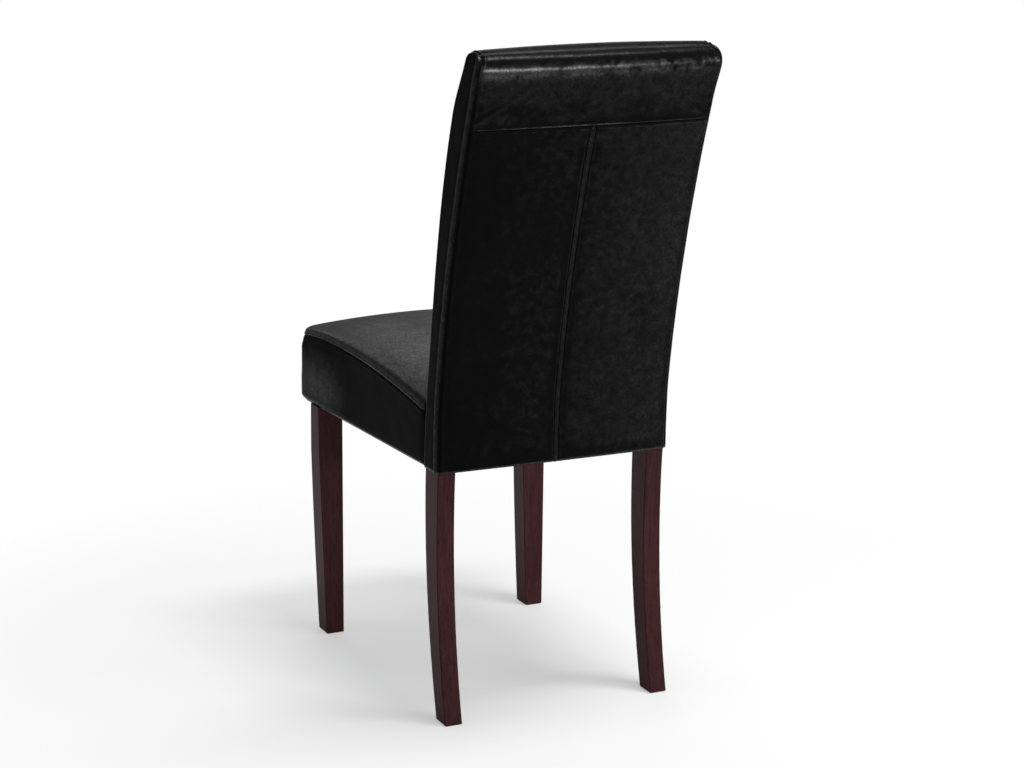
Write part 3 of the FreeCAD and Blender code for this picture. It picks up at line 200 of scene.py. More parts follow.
soft_lamp("lamp_above", (-0.5, 0.5, 3.0), (-0.5, 0.1, 0.6), 1.3, 0.5, 46.0, (1.0, 0.99, 0.97))
soft_lamp("lamp_front", (-0.55, -2.6, 2.1), (0.0, -0.2, 0.5), 2.7, 1.4, 20.0, (0.98, 0.98, 1.0))
soft_lamp("lamp_side", (3.0, -0.6, 1.3), (0.0, 0.0, 0.3), 1.2, 1.4, 6.0, (1.0, 1.0, 1.0))
soft_lamp("lamp_behind", (-1.7, 1.5, 1.4), (-0.1, 0.1, 0.5), 1.1, 1.1, 21.0, (1.0, 0.98, 0.96))
soft_lamp("lamp_strip", (-1.15, 3.3, 1.05), (0.0, 0.2, 0.9), 0.9, 0.28, 21.0, (1.0, 1.0, 1.0))

# Camera. It looks down on the chair from behind its left side, at the photograph's angle and distance. Its
# shift sets the chair to the left of the frame's middle, as in the photograph.
frame_width = 1024
lens_pixels = 2325.9
film_width = 36.0
eye_place = (1.529885, 3.106538, 1.297522)
eye_back = Vector((0.3796, 0.8943, 0.2368)).normalized()
eye_right = Vector((-0.9205, 0.3907, 0.0)).normalized()
eye_up = eye_back.cross(eye_right)
camera_data = bpy.data.cameras.new("photo_camera")
camera_data.sensor_width = film_width
camera_data.lens = film_width * lens_pixels / frame_width
camera_data.shift_x = 0.138
camera_data.shift_y = -0.0028
camera_data.clip_end = 60.0
camera = set_up("photo_camera", camera_data)
turned = Matrix((eye_right, eye_up, eye_back)).transposed().to_4x4()
camera.matrix_world = Matrix.Translation(eye_place) @ turned
scene.camera = camera

# Legs. The rear ones are sabre-curved and run on as the posts of the back, the front ones taper. They are
# rubberwood, stained a dark mahogany that gathers in the pores, under a thin satin lacquer.
stain = Finish("mahogany_stain")
streaks = stain.clouds(stain.place((1.0, 1.0, 0.045)), 260.0, 6.0, 0.6)
pores = stain.clouds(stain.place((1.0, 1.0, 0.02)), 1500.0, 2.0, 0.5)
patches = stain.clouds(stain.place((1.0, 1.0, 0.3)), 14.0, 3.0)
grain = stain.mapped(streaks + patches * 0.6 - 0.3, 0.28, 0.72, 0.0, 1.0)
timber = stain.node("ValToRGB", {"stops": [
    (0.0, (0.029, 0.0085, 0.0092)), (0.45, (0.043, 0.0124, 0.0138)), (1.0, (0.061, 0.0182, 0.0200))]},
    {"Fac": grain})
dark_pores = stain.mapped(pores, 0.3, 0.44, 0.0, 1.0)
timber = stain.mix(dark_pores, (0.010, 0.0042, 0.0044, 1.0), timber)
stain.surface(
    Base_Color=timber,
    Roughness=stain.mapped(streaks, 0.2, 0.8, 0.3, 0.46),
    Specular_IOR_Level=0.06,
    Coat_Weight=stain.mapped(patches, 0.2, 0.8, 0.01, 0.04),
    Coat_Roughness=0.22,
    Normal=stain.relief(streaks * 0.6 + pores * 0.4, 0.00012, 0.6))


def finish_nodes(material, *names):
    """Give modelled pieces, by the names of their nodes, their material."""
    for name in names:
        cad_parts[name].data.materials.clear()
        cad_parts[name].data.materials.append(material)


finish_nodes(stain.owner, "rear_leg_left", "rear_leg_right", "front_leg_left", "front_leg_right")

# Frame inside the upholstery. Planed rails, dowels and corner blocks of pale rubberwood are glued together
# and left unfinished. The grain runs along each piece, so there is a finish for each way that they lie.


def bare_timber(name, stretch):
    bare = Finish(name)
    lines = bare.clouds(bare.place(stretch), 190.0, 5.0, 0.6)
    broad = bare.clouds(bare.place(stretch), 30.0, 2.0)
    tone = bare.mapped(lines * 0.6 + broad * 0.4, 0.3, 0.7, 0.0, 1.0)
    colour = bare.node("ValToRGB", {"stops": [
        (0.0, (0.43, 0.27, 0.145)), (0.5, (0.56, 0.38, 0.22)), (1.0, (0.66, 0.48, 0.3))]}, {"Fac": tone})
    return bare.surface(
        Base_Color=colour, Roughness=bare.mapped(lines, 0.2, 0.8, 0.62, 0.78),
        Normal=bare.relief(lines, 0.0002, 0.5))


crosswise_timber = bare_timber("bare_timber_crosswise", (0.05, 1.0, 1.0))
lengthwise_timber = bare_timber("bare_timber_lengthwise", (1.0, 0.05, 1.0))
finish_nodes(crosswise_timber, "back_top_rail", "back_middle_rail", "back_bottom_rail", "back_dowels",
             "seat_rail_front", "seat_rail_rear", "corner_block_front_left", "corner_block_front_right",
             "corner_block_rear_left", "corner_block_rear_right")
finish_nodes(lengthwise_timber, "seat_rail_left", "seat_rail_right", "seat_dowels")

# Back board. A thin sheet of pressed fibre closes the frame behind and carries the padding of the rear. It
# is smooth outside, and its fibres show as fine flecks.
fibre = Finish("pressed_fibre")
flecks = fibre.clouds(fibre.place((1.0, 1.0, 0.4)), 700.0, 3.0)
stains = fibre.clouds(fibre.place(), 12.0)
fibre.surface(
    Base_Color=fibre.mix(flecks * 0.7 + stains * 0.3, (0.12, 0.065, 0.03, 1), (0.24, 0.14, 0.075, 1)),
    Roughness=fibre.mapped(flecks, 0.2, 0.8, 0.5, 0.7), Normal=fibre.relief(flecks, 0.0001, 0.4))
finish_nodes(fibre.owner, "back_board")

# Straps. Woven elastic webbing is stretched both ways across the seat frame and across the posts of the
# back, and stapled to the wood. Its rubber threads show as fine ribs.


def webbing_finish(name, rib_axis, pick_axis):
    woven = Finish(name)
    ribs = woven.node("TexWave", {"bands_direction": rib_axis},
                      {"Vector": woven.place(), "Scale": 130.0, "Distortion": 0.4, "Detail": 1.0})
    picks = woven.node("TexWave", {"bands_direction": pick_axis},
                       {"Vector": woven.place(), "Scale": 300.0, "Distortion": 0.3})
    fuzz = woven.clouds(woven.place(), 900.0)
    return woven.surface(
        Base_Color=woven.mix(ribs * 0.6 + fuzz * 0.4, (0.012, 0.01, 0.009, 1), (0.055, 0.043, 0.033, 1)),
        Roughness=woven.mapped(fuzz, 0.2, 0.8, 0.7, 0.9),
        Normal=woven.relief(ribs * 0.7 + picks * 0.3, 0.0004, 0.7))


finish_nodes(webbing_finish("webbing_lengthwise", "X", "Y"), "seat_webbing_lengthwise")
finish_nodes(webbing_finish("webbing_crosswise", "Y", "X"), "seat_webbing_crosswise", "back_webbing")

# Padding. Blocks of cut foam with open pores are glued over the straps, the board and the rails, and thin
# fluffy wadding goes down the outer sides of the posts.
sponge = Finish("cut_foam")
pore_size = sponge.cells(sponge.place(), 900.0)
aged = sponge.clouds(sponge.place(), 9.0)
sponge.surface(
    Base_Color=sponge.mix(aged, (0.72, 0.62, 0.38, 1), (0.78, 0.7, 0.48, 1)),
    Roughness=sponge.mapped(pore_size, 0.0, 0.8, 0.98, 0.85), Normal=sponge.relief(pore_size, 0.0005, 0.8))
finish_nodes(sponge.owner, "back_foam_top", "back_foam_front", "back_foam_rear", "seat_foam",
             "seat_front_foam", "seat_side_foam_left", "seat_side_foam_right")
fluff = Finish("fluffy_wadding")
hairs = fluff.clouds(fluff.place((1.0, 3.0, 1.0)), 420.0, 6.0, 0.7)
fluff.surface(
    Base_Color=fluff.mix(hairs, (0.68, 0.68, 0.66, 1), (0.84, 0.84, 0.83, 1)),
    Roughness=fluff.mapped(hairs, 0.2, 0.8, 0.9, 1.0), Normal=fluff.relief(hairs, 0.0008, 0.8))
finish_nodes(fluff.owner, "back_side_wadding_left", "back_side_wadding_right")

# Bolts, washers, tee nuts and screws. They are zinc-plated steel with faint spangles and a few dull spots.
# The bolts join the seat frame to the bottom rail of the back, and the screws hold the corner blocks.
plated = Finish("zinc_plate")
spangle = plated.cells(plated.place(), 260.0)
dull = plated.clouds(plated.place(), 120.0)
plated.surface(
    Base_Color=plated.mix(dull, (0.56, 0.56, 0.54, 1), (0.68, 0.68, 0.67, 1)),
    Metallic=1.0, Roughness=plated.mapped(spangle * 0.5 + dull * 0.5, 0.1, 0.6, 0.24, 0.42),
    Normal=plated.relief(dull, 0.00005, 0.4))
finish_nodes(plated.owner, "corner_block_screws", "back_bolts", "back_washers", "back_tee_nuts")

# Leather of the cover. Bonded leather, black, with a fine even grain, is cut into panels and drawn over the
# padding. Its satin gloss is strongest where it is rubbed, on the welts, the roll and the seat, and it stays
# dull in the stitched grooves. Its colour is painted lighter there too, as painted highlights on ridges, the
# roll and the seat, and painted darker in the grooves, as painted shade.
hide = Finish("black_leather")
hide_place = hide.place()
grain_cells = hide.cells(hide_place, 1050.0)
fine_grain = hide.clouds(hide_place, 2200.0, 2.0)
mottle = hide.clouds(hide_place, 85.0, 5.0, 0.62)
broad_tone = hide.clouds(hide_place, 7.0, 3.0)
glints = hide.clouds(hide_place, 340.0, 3.0)
rubbed = hide.node("Attribute", {"attribute_name": "rubbed"}, output=2)
# The colour is painted lighter with the attribute of wear and painted light: painted highlights on ridges,
# the roll and the seat, and painted shade in the grooves.
tone = mottle * 0.5 + broad_tone * 0.3 + rubbed * 0.4
dulled = mottle * 0.5 + grain_cells * 0.2 + broad_tone * 0.2 - rubbed * 0.8
gloss = hide.mapped(rubbed + mottle * 0.3, 0.35, 1.1, 0.0, 0.95)
hide.surface(
    Base_Color=hide.node("ValToRGB", {"stops": [
        (0.2, (0.0017, 0.0016, 0.0017)), (0.55, (0.0042, 0.0040, 0.0043)), (1.0, (0.0200, 0.0186, 0.0198))]},
        {"Fac": tone}),
    Roughness=hide.mapped(dulled, -0.5, 0.3, 0.24, 0.52),
    Specular_IOR_Level=0.018,
    Coat_Weight=gloss * hide.mapped(glints, 0.38, 0.62, 0.5, 1.2),
    Coat_Roughness=0.26,
    Normal=hide.relief(grain_cells * 0.65 + fine_grain * 0.2 + mottle * 0.5, 0.00022, 0.55))

# How the panels lie, in millimetres: the hem's rear behind the chair's middle, and the leather on its form.
rear_of_hem = 190.63
deepest_groove = 0.85
lies_out = 0.5
clear_of_padding = 0.6


def in_place(points):
    """Points in millimetres from the rear of the hem, set into the chair's own frame in metres."""
    return (points + (0, rear_of_hem, 0)) * 0.001


def padding_height(points, outward, over):
    """How far the foam and wadding under a panel stand off its plain form, and far below it where none is."""
    corners = []
    faces = []
    for node in over:
        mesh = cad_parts[node].data
        faces.extend([len(corners) + corner for corner in face.vertices] for face in mesh.polygons)
        corners.extend(vertex.co.copy() for vertex in mesh.vertices)
    padding = BVHTree.FromPolygons(corners, faces)
    no_padding = -50.0
    above = 8.0
    height = np.full(points.shape[:2], no_padding)
    start = in_place(points + outward * above)
    for place in np.ndindex(height.shape):
        distance = padding.ray_cast(Vector(start[place]), Vector(-outward[place]), 2 * above * 0.001)[3]
        if distance is not None:
            height[place] = above - distance * 1000
    return height


def reach_out(skin, reach):
    """Draw the free edges of a skin a little over their neighbours, so that no seam gapes."""
    outwards = {}
    for edge in skin.edges:
        if edge.is_boundary:
            start, end = edge.verts
            run = (end.co - start.co).normalized()
            away = (start.co + end.co) / 2 - edge.link_faces[0].calc_center_median()
            away = (away - run * away.dot(run)).normalized()
            for vertex in edge.verts:
                outwards[vertex] = outwards.get(vertex, Vector()) + away
    for vertex, away in outwards.items():
        vertex.co += away.normalized() * reach


def leather(name, patches, replaced, over, wall=1.2):
    """A panel of leather from patches: a grid of points in millimetres, how far each stands off the plain
    form, which faces are kept, and how much wear and painted light it carries. Raised leather gets more, as a
    painted highlight, and grooves less, as painted shade. The panel lies half a millimetre out, its grooves
    are 0.85 mm deep at most, and it never goes into the padding. Patches that share an edge are sewn into
    one skin."""
    mesh = bpy.data.meshes.new(name)
    skin = bmesh.new()
    wear_and_light_layer = skin.verts.layers.float.new("rubbed")
    for points, lift, keep, wear_and_light in patches:
        lift = np.maximum(lift, -deepest_groove) + lies_out
        # Raised leather gets a painted highlight and grooves get painted shade: the share grows with the
        # lift.
        wear_and_light = np.clip(0.25 + np.clip(lift, -0.6, 1.2) * 0.12 + wear_and_light, 0, 1)
        outward = np.cross(np.gradient(points, axis=1), np.gradient(points, axis=0))
        outward /= np.maximum(np.linalg.norm(outward, axis=2, keepdims=True), 1e-9)
        if over:
            lift = np.maximum(lift, padding_height(points, outward, over) + clear_of_padding)
        placed = in_place(points + outward * lift[..., None])
        rows, columns = lift.shape
        made = [[skin.verts.new(placed[r, c]) for c in range(columns)] for r in range(rows)]
        for r, c in np.ndindex(rows, columns):
            made[r][c][wear_and_light_layer] = float(wear_and_light[r, c])
        for r, c in np.ndindex(rows - 1, columns - 1):
            if keep is None or keep[r, c]:
                skin.faces.new((made[r][c], made[r][c + 1], made[r + 1][c + 1], made[r + 1][c]))
    bmesh.ops.remove_doubles(skin, verts=skin.verts, dist=0.00002)
    bmesh.ops.dissolve_degenerate(skin, edges=skin.edges, dist=0.00001)
    reach_out(skin, 0.0003)
    for face in skin.faces:
        face.smooth = True
    skin.to_mesh(mesh)
    skin.free()
    mesh.materials.append(hide.owner)
    panel = set_up(name, mesh)
    thickness = panel.modifiers.new("thickness", "SOLIDIFY")
    thickness.thickness = wall * 0.001
    thickness.offset = -1.0
    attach(panel, "root")
    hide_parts(*replaced)


# Form of the back, in millimetres from the rear of the hem, which every panel of its cover follows. Depths
# are measured square to the rear face, which rises straight, bends over a short arc and leans back on a long
# one. The back is slim at the waist and full at the shoulder.
hem = 377.5
back_half = 187.8
top = 976.0
corner = 8.0
bend = 427.0
lumbar_radius = 573.0
lumbar_angle = math.radians(8.1)
upper_radius = 2220.0
roll = 12.0
end_roll = 7.0
band_seam = 880.6
waist = 495.0
shoulder = 880.0
hem_depth = 49.5
waist_depth = 44.6
shoulder_depth = 58.6
top_depth = 46.0
rear_crown = 2.0
front_crown = 8.0
crown_start = 476.0
crown_full = 640.0
flat_half = back_half - corner
roll_start = top - roll
lumbar_back = lumbar_radius * (1 - math.cos(lumbar_angle))
lumbar_top = bend + lumbar_radius * math.sin(lumbar_angle)
upper_back = lumbar_back + upper_radius * math.cos(lumbar_angle)
upper_low = lumbar_top - upper_radius * math.sin(lumbar_angle)


def lean(height):
    """The angle by which the back leans at a height."""
    lumbar = np.arcsin(np.clip((height - bend) / lumbar_radius, 0, 1))
    upper = np.arcsin(np.clip((height - upper_low) / upper_radius, -1, 1))
    return np.where(height <= bend, 0.0, np.where(height <= lumbar_top, lumbar, upper))


def rear_line(height):
    """How far back the rear face has gone at a height."""
    angle = lean(height)
    lumbar = lumbar_radius * (1 - np.cos(angle))
    upper = upper_back - upper_radius * np.cos(angle)
    return np.where(height <= bend, 0.0, np.where(height <= lumbar_top, lumbar, upper))


def smooth(share):
    """A share from 0 to 1, eased at both ends."""
    share = np.clip(share, 0.0, 1.0)
    return (1 - np.cos(np.pi * share)) / 2


def passing(height, low, high, start, end):
    """A size that passes softly from start at the low height to end at the high one."""
    return start + (end - start) * smooth((height - low) / (high - low))


def back_depth(height):
    """How thick the back is at a height."""
    below = passing(height, hem, waist, hem_depth, waist_depth)
    middle = passing(height, waist, shoulder, waist_depth, shoulder_depth)
    above = passing(height, shoulder, top, shoulder_depth, top_depth)
    return np.where(height < waist, below, np.where(height < shoulder, middle, above))


def back_point(x, depth, height):
    """Points of the back from arrays of x, depth and height."""
    angle = lean(height)
    return np.stack([x, rear_line(height) - depth * np.cos(angle), height + depth * np.sin(angle)], axis=-1)


class Section:
    """The outline of the back at each row of a panel: a nearly flat rear, round corners, straight sides and
    a crowned front."""

    def __init__(self, height, turn):
        """turn is how far the row has gone over the roll along the top, from 0 to a quarter turn."""
        draw = 1 - np.cos(turn)
        self.height = height
        self.half = back_half - end_roll * draw
        self.rear = roll * draw
        self.front = back_depth(height) - roll * draw

    def rear_flat(self, share):
        return share * (self.half - corner), self.rear - rear_crown * (1 - share**2)

    def rear_corner(self, angle):
        return self.half - corner + corner * math.sin(angle), self.rear + corner - corner * math.cos(angle)

    def side(self, share):
        start = self.rear + corner
        return self.half, start + (self.front - corner - start) * share

    def front_corner(self, angle):
        return self.half - corner + corner * math.sin(angle), self.front - corner + corner * math.cos(angle)

    def front_flat(self, share):
        crown = passing(self.height, crown_start, crown_full, 0.0, front_crown)
        return share * (self.half - corner), self.front + crown * (1 - share**2)

    def column(self, piece, share):
        x, depth = getattr(self, piece)(share)
        x = np.broadcast_to(x, self.height.shape)
        depth = np.broadcast_to(depth, self.height.shape)
        return back_point(x, depth, self.height)


def grid(section, columns):
    """Points of a panel, row by row, at places round the section. A sign of -1 sets one on the right half."""
    made = []
    for sign, piece, share in columns:
        points = section.column(piece, share)
        points[:, 0] *= sign
        made.append(points)
    return np.stack(made, axis=1)


# Rear panels. Two pieces of leather over thin foam meet in a raised centre seam with a pressed line of
# stitches on either side. They run up from the turned hem to the seam under the top band.
seam_turn = math.radians(38)
rear_halves = ((1, "left", 2.0), (-1, "right", 14.0))


def spaced(length, fine_start, fine_end, fine=0.6, coarse=4.0):
    """Distances along a run of that length, close together over a zone at either end."""
    stops = [0.0]
    while stops[-1] < length:
        from_fine = min(max(stops[-1] - fine_start, 0.0), max(length - fine_end - stops[-1], 0.0))
        stops.append(stops[-1] + min(fine + 0.22 * from_fine, coarse))
    return np.array(stops) * length / stops[-1]


def bell(distance, middle, width):
    """A soft ridge, 1 in its middle and gone within twice its width."""
    return np.exp(-((distance - middle) / width) ** 2)


def sewn(distance, width=1.2, lip=0.5, lip_at=3.4, lip_width=1.9):
    """Leather at a distance from a seam: drawn down into it, with a soft lip beside it."""
    return -deepest_groove * bell(distance, 0, width) + lip * bell(distance, lip_at, lip_width)


def rumple(across, along, wave, seed):
    """Smooth random swell from -1 to 1 on two arrays of distances in millimetres."""
    flat = [noise.noise(Vector((a / wave, b / wave, seed))) for a, b in zip(across.ravel(), along.ravel())]
    return np.array(flat).reshape(across.shape)


def gathers(distance, reach, start, peak=0.0, blank=0.0):
    """How strongly the leather is gathered at a distance from a seam: not in the seam itself, most beside
    it, and less and less further off."""
    return np.exp(-np.abs(distance - peak) / reach) * smooth((distance - blank) / start)


def turned_round(*grids):
    """Grids with their columns in the opposite order, so that the leather's face looks outwards."""
    return tuple(values[:, ::-1] for values in grids)


rear_rows = spaced(band_seam - hem, 5, 12, 0.8, 4.0) + hem
rear_across = spaced(flat_half, 9, 3, 0.6, 5.0) / flat_half
corner_angles = np.linspace(0, seam_turn, 9)[1:]
rear_columns = [("rear_flat", share) for share in rear_across]
rear_columns += [("rear_corner", angle) for angle in corner_angles]
across_mm = np.concatenate([rear_across * flat_half, flat_half + corner * corner_angles])
seam_mm = across_mm[-1]


def centre_stitch_line(height):
    """Distance of the pressed stitch lines from the centre seam, wider at the top."""
    return passing(height, 620.0, band_seam, 4.0, 5.3)


def rear_lift(x, height, seed):
    """How far the rear leather stands off its plain form: the welt, the pressed lines, the sewn edges, the
    slack between them, and the puckers along the band and the stitches."""
    from_centre = np.abs(x)
    from_side = seam_mm - from_centre
    from_band = band_seam - height
    line = centre_stitch_line(height)
    stand = 1.5 * bell(from_centre, 0, 2.6) - 0.5 * bell(from_centre, 0, 0.6)
    stand += -1.1 * bell(from_centre, line, 1.15) + 0.4 * bell(from_centre, line + 3.2, 1.9)
    stand += sewn(from_side) + sewn(from_band, 2.4, 0.9, 5.2, 2.4) + 1.2 * bell(from_band, 14.0, 8.5)
    free = smooth((from_centre - 4.0) / 25.0) * smooth(from_side / 22.0) * smooth(from_band / 30.0)
    free *= smooth((height - hem - 4.0) / 30.0)
    stand += free * (0.9 + 0.95 * rumple(x, height, 85.0, seed) + 0.3 * rumple(x, height, 26.0, seed + 3))
    stand += 0.8 * gathers(from_band, 11.0, 5.0) * rumple(x, from_band * 0.35, 9.0, seed + 5)
    beside_line = gathers(from_centre - line, 7.0, 2.5, peak=3.0)
    stand += 0.45 * beside_line * rumple(x * 0.3, height, 10.0, seed + 8)
    return stand


def rear_wear_and_light(x, height):
    """The welt of the centre seam shows wear. A painted highlight runs along the hem, and the colour is
    painted lighter towards the right side, where more light falls.
    """
    return 0.2 * bell(np.abs(x), 1.4, 0.8) + 0.6 * bell(height - hem, 1.2, 1.3) - 0.15 - 0.1 * x / back_half


rear_section = Section(rear_rows, np.zeros_like(rear_rows))
for sign, side_name, seed in rear_halves:
    x_mm, h_mm = np.meshgrid(sign * across_mm, rear_rows)
    points = grid(rear_section, [(sign, piece, share) for piece, share in rear_columns])
    lift = rear_lift(x_mm, h_mm, seed)
    wear_and_light = rear_wear_and_light(x_mm, h_mm)
    if sign > 0:
        points, lift, wear_and_light = turned_round(points, lift, wear_and_light)
    leather(f"leather_rear_{side_name}", [(points, lift, None, wear_and_light)], [f"back_cover_rear_{side_name}"],
            ["back_foam_rear"])

# Stitches. Polyester thread runs down both sides of the centre seam and along the lower edge of the top band,
# about three stitches to the centimetre. Each one is pulled half into the leather.
thread = Finish("sewing_thread")
twist = thread.node("TexWave", {"bands_direction": "DIAGONAL"}, {"Vector": thread.place(), "Scale": 700.0})
thread_tone = thread.clouds(thread.place(), 60.0)
thread.surface(
    Base_Color=thread.mix(thread_tone, (0.006, 0.0058, 0.006, 1), (0.05, 0.048, 0.05, 1)),
    Roughness=thread.mapped(twist, 0.0, 1.0, 0.32, 0.5), Normal=thread.relief(twist, 0.0001, 0.5))


def repeated_along(name, rounded):
    """A tree that sets one short piece after another along lines: rounded for stitches, square for wire."""
    tree = bpy.data.node_groups.new(name, "GeometryNodeTree")
    inputs = {"Lines": "Geometry", "Pitch": "Float", "Half size": "Vector", "Uneven": "Float",
              "Finish": "Material"}
    for title, kind in inputs.items():
        tree.interface.new_socket(title, in_out="INPUT", socket_type="NodeSocket" + kind)
    tree.interface.new_socket("Pieces", in_out="OUTPUT", socket_type="NodeSocketGeometry")

    def step(kind, settings=None, sockets=None):
        made = tree.nodes.new(kind)
        for setting, value in (settings or {}).items():
            setattr(made, setting, value)
        for socket, value in (sockets or {}).items():
            if isinstance(value, bpy.types.NodeSocket):
                tree.links.new(value, made.inputs[socket])
            else:
                made.inputs[socket].default_value = value
        return made.outputs

    given = step("NodeGroupInput")
    curve = step("GeometryNodeMeshToCurve", {}, {"Mesh": given["Lines"]})["Curve"]
    spots = step("GeometryNodeCurveToPoints", {"mode": "LENGTH"}, {"Curve": curve, "Length": given["Pitch"]})
    heading = {"Vector": spots["Tangent"]}
    turned = step("FunctionNodeAlignRotationToVector", {"axis": "Z"}, heading)["Rotation"]
    if rounded:
        piece = step("GeometryNodeMeshUVSphere", {}, {"Segments": 6, "Rings": 4, "Radius": 1.0})["Mesh"]
    else:
        piece = step("GeometryNodeMeshCube", {}, {"Size": (2.0, 2.0, 2.0)})["Mesh"]
    sized = step("GeometryNodeTransform", {}, {"Geometry": piece, "Scale": given["Half size"]})["Geometry"]
    # Inputs 2 and 3 of a random value are the ends of its range as a plain number, output 1 is the number.
    shortest = step("ShaderNodeMath", {"operation": "SUBTRACT"}, {0: 1.0, 1: given["Uneven"]})["Value"]
    length = step("FunctionNodeRandomValue", {"data_type": "FLOAT"}, {2: shortest, 3: 1.0, "Seed": 7})[1]
    scale = step("ShaderNodeCombineXYZ", {}, {"X": 1.0, "Y": 1.0, "Z": length})["Vector"]
    set_down = step("GeometryNodeInstanceOnPoints", {}, {
        "Points": spots["Points"], "Instance": sized, "Rotation": turned, "Scale": scale})["Instances"]
    real = step("GeometryNodeRealizeInstances", {}, {"Geometry": set_down})["Geometry"]
    painted = step("GeometryNodeSetMaterial", {}, {"Geometry": real, "Material": given["Finish"]})["Geometry"]
    step("NodeGroupOutput", {}, {"Pieces": painted})
    return tree


def along_lines(name, tree, lines, pitch, half_size, uneven, finish):
    """Pieces of one kind along lines of points in millimetres, as one plain mesh."""
    places = []
    edges = []
    for line in lines:
        first = len(places)
        places.extend(in_place(line))
        edges.extend((n, n + 1) for n in range(first, len(places) - 1))
    guide_mesh = bpy.data.meshes.new(name + "_lines")
    guide_mesh.from_pydata(places, edges, [])
    guide = set_up(name + "_lines", guide_mesh)
    modifier = guide.modifiers.new("pieces", "NODES")
    modifier.node_group = tree
    sizes = {"Pitch": pitch * 0.001, "Half size": [half * 0.001 for half in half_size],
             "Uneven": uneven, "Finish": finish}
    for socket in tree.interface.items_tree:
        if socket.name in sizes:
            modifier[socket.identifier] = sizes[socket.name]
    bpy.context.view_layer.update()
    shaped = guide.evaluated_get(bpy.context.evaluated_depsgraph_get())
    mesh = bpy.data.meshes.new_from_object(shaped)
    guide.modifiers.clear()
    bpy.data.objects.remove(guide)
    pieces = set_up(name, mesh)
    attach(pieces, "root")
    return pieces


def on_rear(x, height, stand):
    """Points that stand off the flat part of the rear."""
    return back_point(x, -rear_crown * (1 - (x / flat_half) ** 2) - stand, height)


stitch_tree = repeated_along("stitches_along_a_seam", True)
stitch_pitch = 3.3
thread_over_form = 0.6
thread_over_band = 1.3
seam_run = np.linspace(hem + 3.0, band_seam - 4.0, 160)
centre_lines = []
for sign, side_name, seed in rear_halves:
    stitch_x = sign * centre_stitch_line(seam_run)
    pressed = np.maximum(rear_lift(stitch_x, seam_run, seed), -deepest_groove)
    centre_lines.append(on_rear(stitch_x, seam_run, pressed + thread_over_form))
band_edge_x = np.linspace(-174.0, 174.0, 120)
band_line = on_rear(band_edge_x, np.full_like(band_edge_x, band_seam + 2.6), thread_over_band)
band_stitches = along_lines("stitches_top_band", stitch_tree, [band_line], stitch_pitch,
                            (0.42, 0.42, 1.25), 0.2, thread.owner)
centre_stitches = along_lines("stitches_centre_seam", stitch_tree, centre_lines, stitch_pitch,
                              (0.3, 0.3, 1.3), 0.15, thread.owner)

# Top band. One piece of leather runs from the seam, over the roll along the top and down to the seam on the
# front edge. It turns over the foam in a wider curve than the plain form, and its ends gather small puckers.
wide_roll = 22.0
roll_stand = 2.6
roll_shift = wide_roll - roll_stand - roll


def rounder(below, turn, past):
    """How far the padded roll stands off its plain form. below is the distance down the wall under the roll,
    turn the angle over it, and past the distance over the top beyond it."""
    flat = np.maximum(below, past)
    on_flat = np.sqrt(wide_roll**2 - np.clip(roll_shift - flat, 0, None) ** 2) - (wide_roll - roll_stand)
    spread = roll_shift * (np.cos(turn) + np.sin(turn))
    on_turn = np.sqrt(spread**2 - 2 * roll_shift**2 + wide_roll**2) - spread - roll
    fade = smooth((below - roll_shift) / 48.0) + 0.6 * smooth((past - roll_shift) / 14.0)
    return np.where((turn > 0) & (past <= 0), on_turn, on_flat) * (1 - fade)


def over_roll(rows, turn):
    """Heights of rows that go on over the roll, and how far each has turned."""
    heights = np.concatenate([rows, roll_start + roll * np.sin(turn)])
    return heights, np.concatenate([np.zeros(len(rows)), turn])


def run_along(points):
    """How far each point lies along its line, for lines of points."""
    steps = np.linalg.norm(np.diff(points, axis=-2), axis=-1)
    return np.concatenate([np.zeros((*steps.shape[:-1], 1)), np.cumsum(steps, axis=-1)], axis=-1)


def crease(across, along, start, end, width, depth):
    """A soft crease from one point to another, deepest at its start, with a low ridge on each side."""
    run = np.array(end) - np.array(start)
    long = np.hypot(*run)
    share = np.clip(((across - start[0]) * run[0] + (along - start[1]) * run[1]) / long**2, 0, 1)
    away = np.hypot(across - start[0] - share * run[0], along - start[1] - share * run[1])
    return depth * (1 - share) ** 0.7 * (0.6 * bell(away, 1.7 * width, width) - bell(away, 0.0, width))


band_columns = [(1, piece, share) for piece, share in reversed(rear_columns)]
band_columns += [(-1, piece, share) for piece, share in rear_columns[1:]]
front_columns = [(sign, piece.replace("rear", "front"), share) for sign, piece, share in band_columns]
band_x = np.concatenate([across_mm[::-1], -across_mm[1:]])
over = np.linspace(0, math.pi / 2, 16)[1:]
wall_rows = spaced(roll_start - band_seam, 9, 4, 0.7, 3.5) + band_seam
band_heights, band_turns = over_roll(wall_rows, over)
band_rear = grid(Section(band_heights, band_turns), band_columns)
front_heights, front_turns = over_roll([], np.linspace(math.pi / 2, math.radians(50), 9))
band_front = grid(Section(front_heights, front_turns), front_columns)
cap_share = np.linspace(0, 1, 14)[1:-1]
cap = band_rear[-1] + cap_share[:, None, None] * (band_front[0] - band_rear[-1])
band_points = np.concatenate([band_rear, cap, band_front])
band_run = run_along(band_points[:, len(band_columns) // 2])
x_mm, run_mm = np.meshgrid(band_x, band_run)
end_mm = seam_mm - np.abs(x_mm)
height_mm = run_mm + band_seam
to_front_seam = band_run[-1] - run_mm
cap_rows = len(cap_share) + len(front_turns)
band_turn = np.concatenate([band_turns, np.full(cap_rows, math.pi / 2)])[:, None]
band_below = np.concatenate([np.clip(roll_start - band_heights, 0, None), np.zeros(cap_rows)])[:, None]
past_mm = np.clip(band_run - band_run[len(band_turns) - 1], 0, None)[:, None]
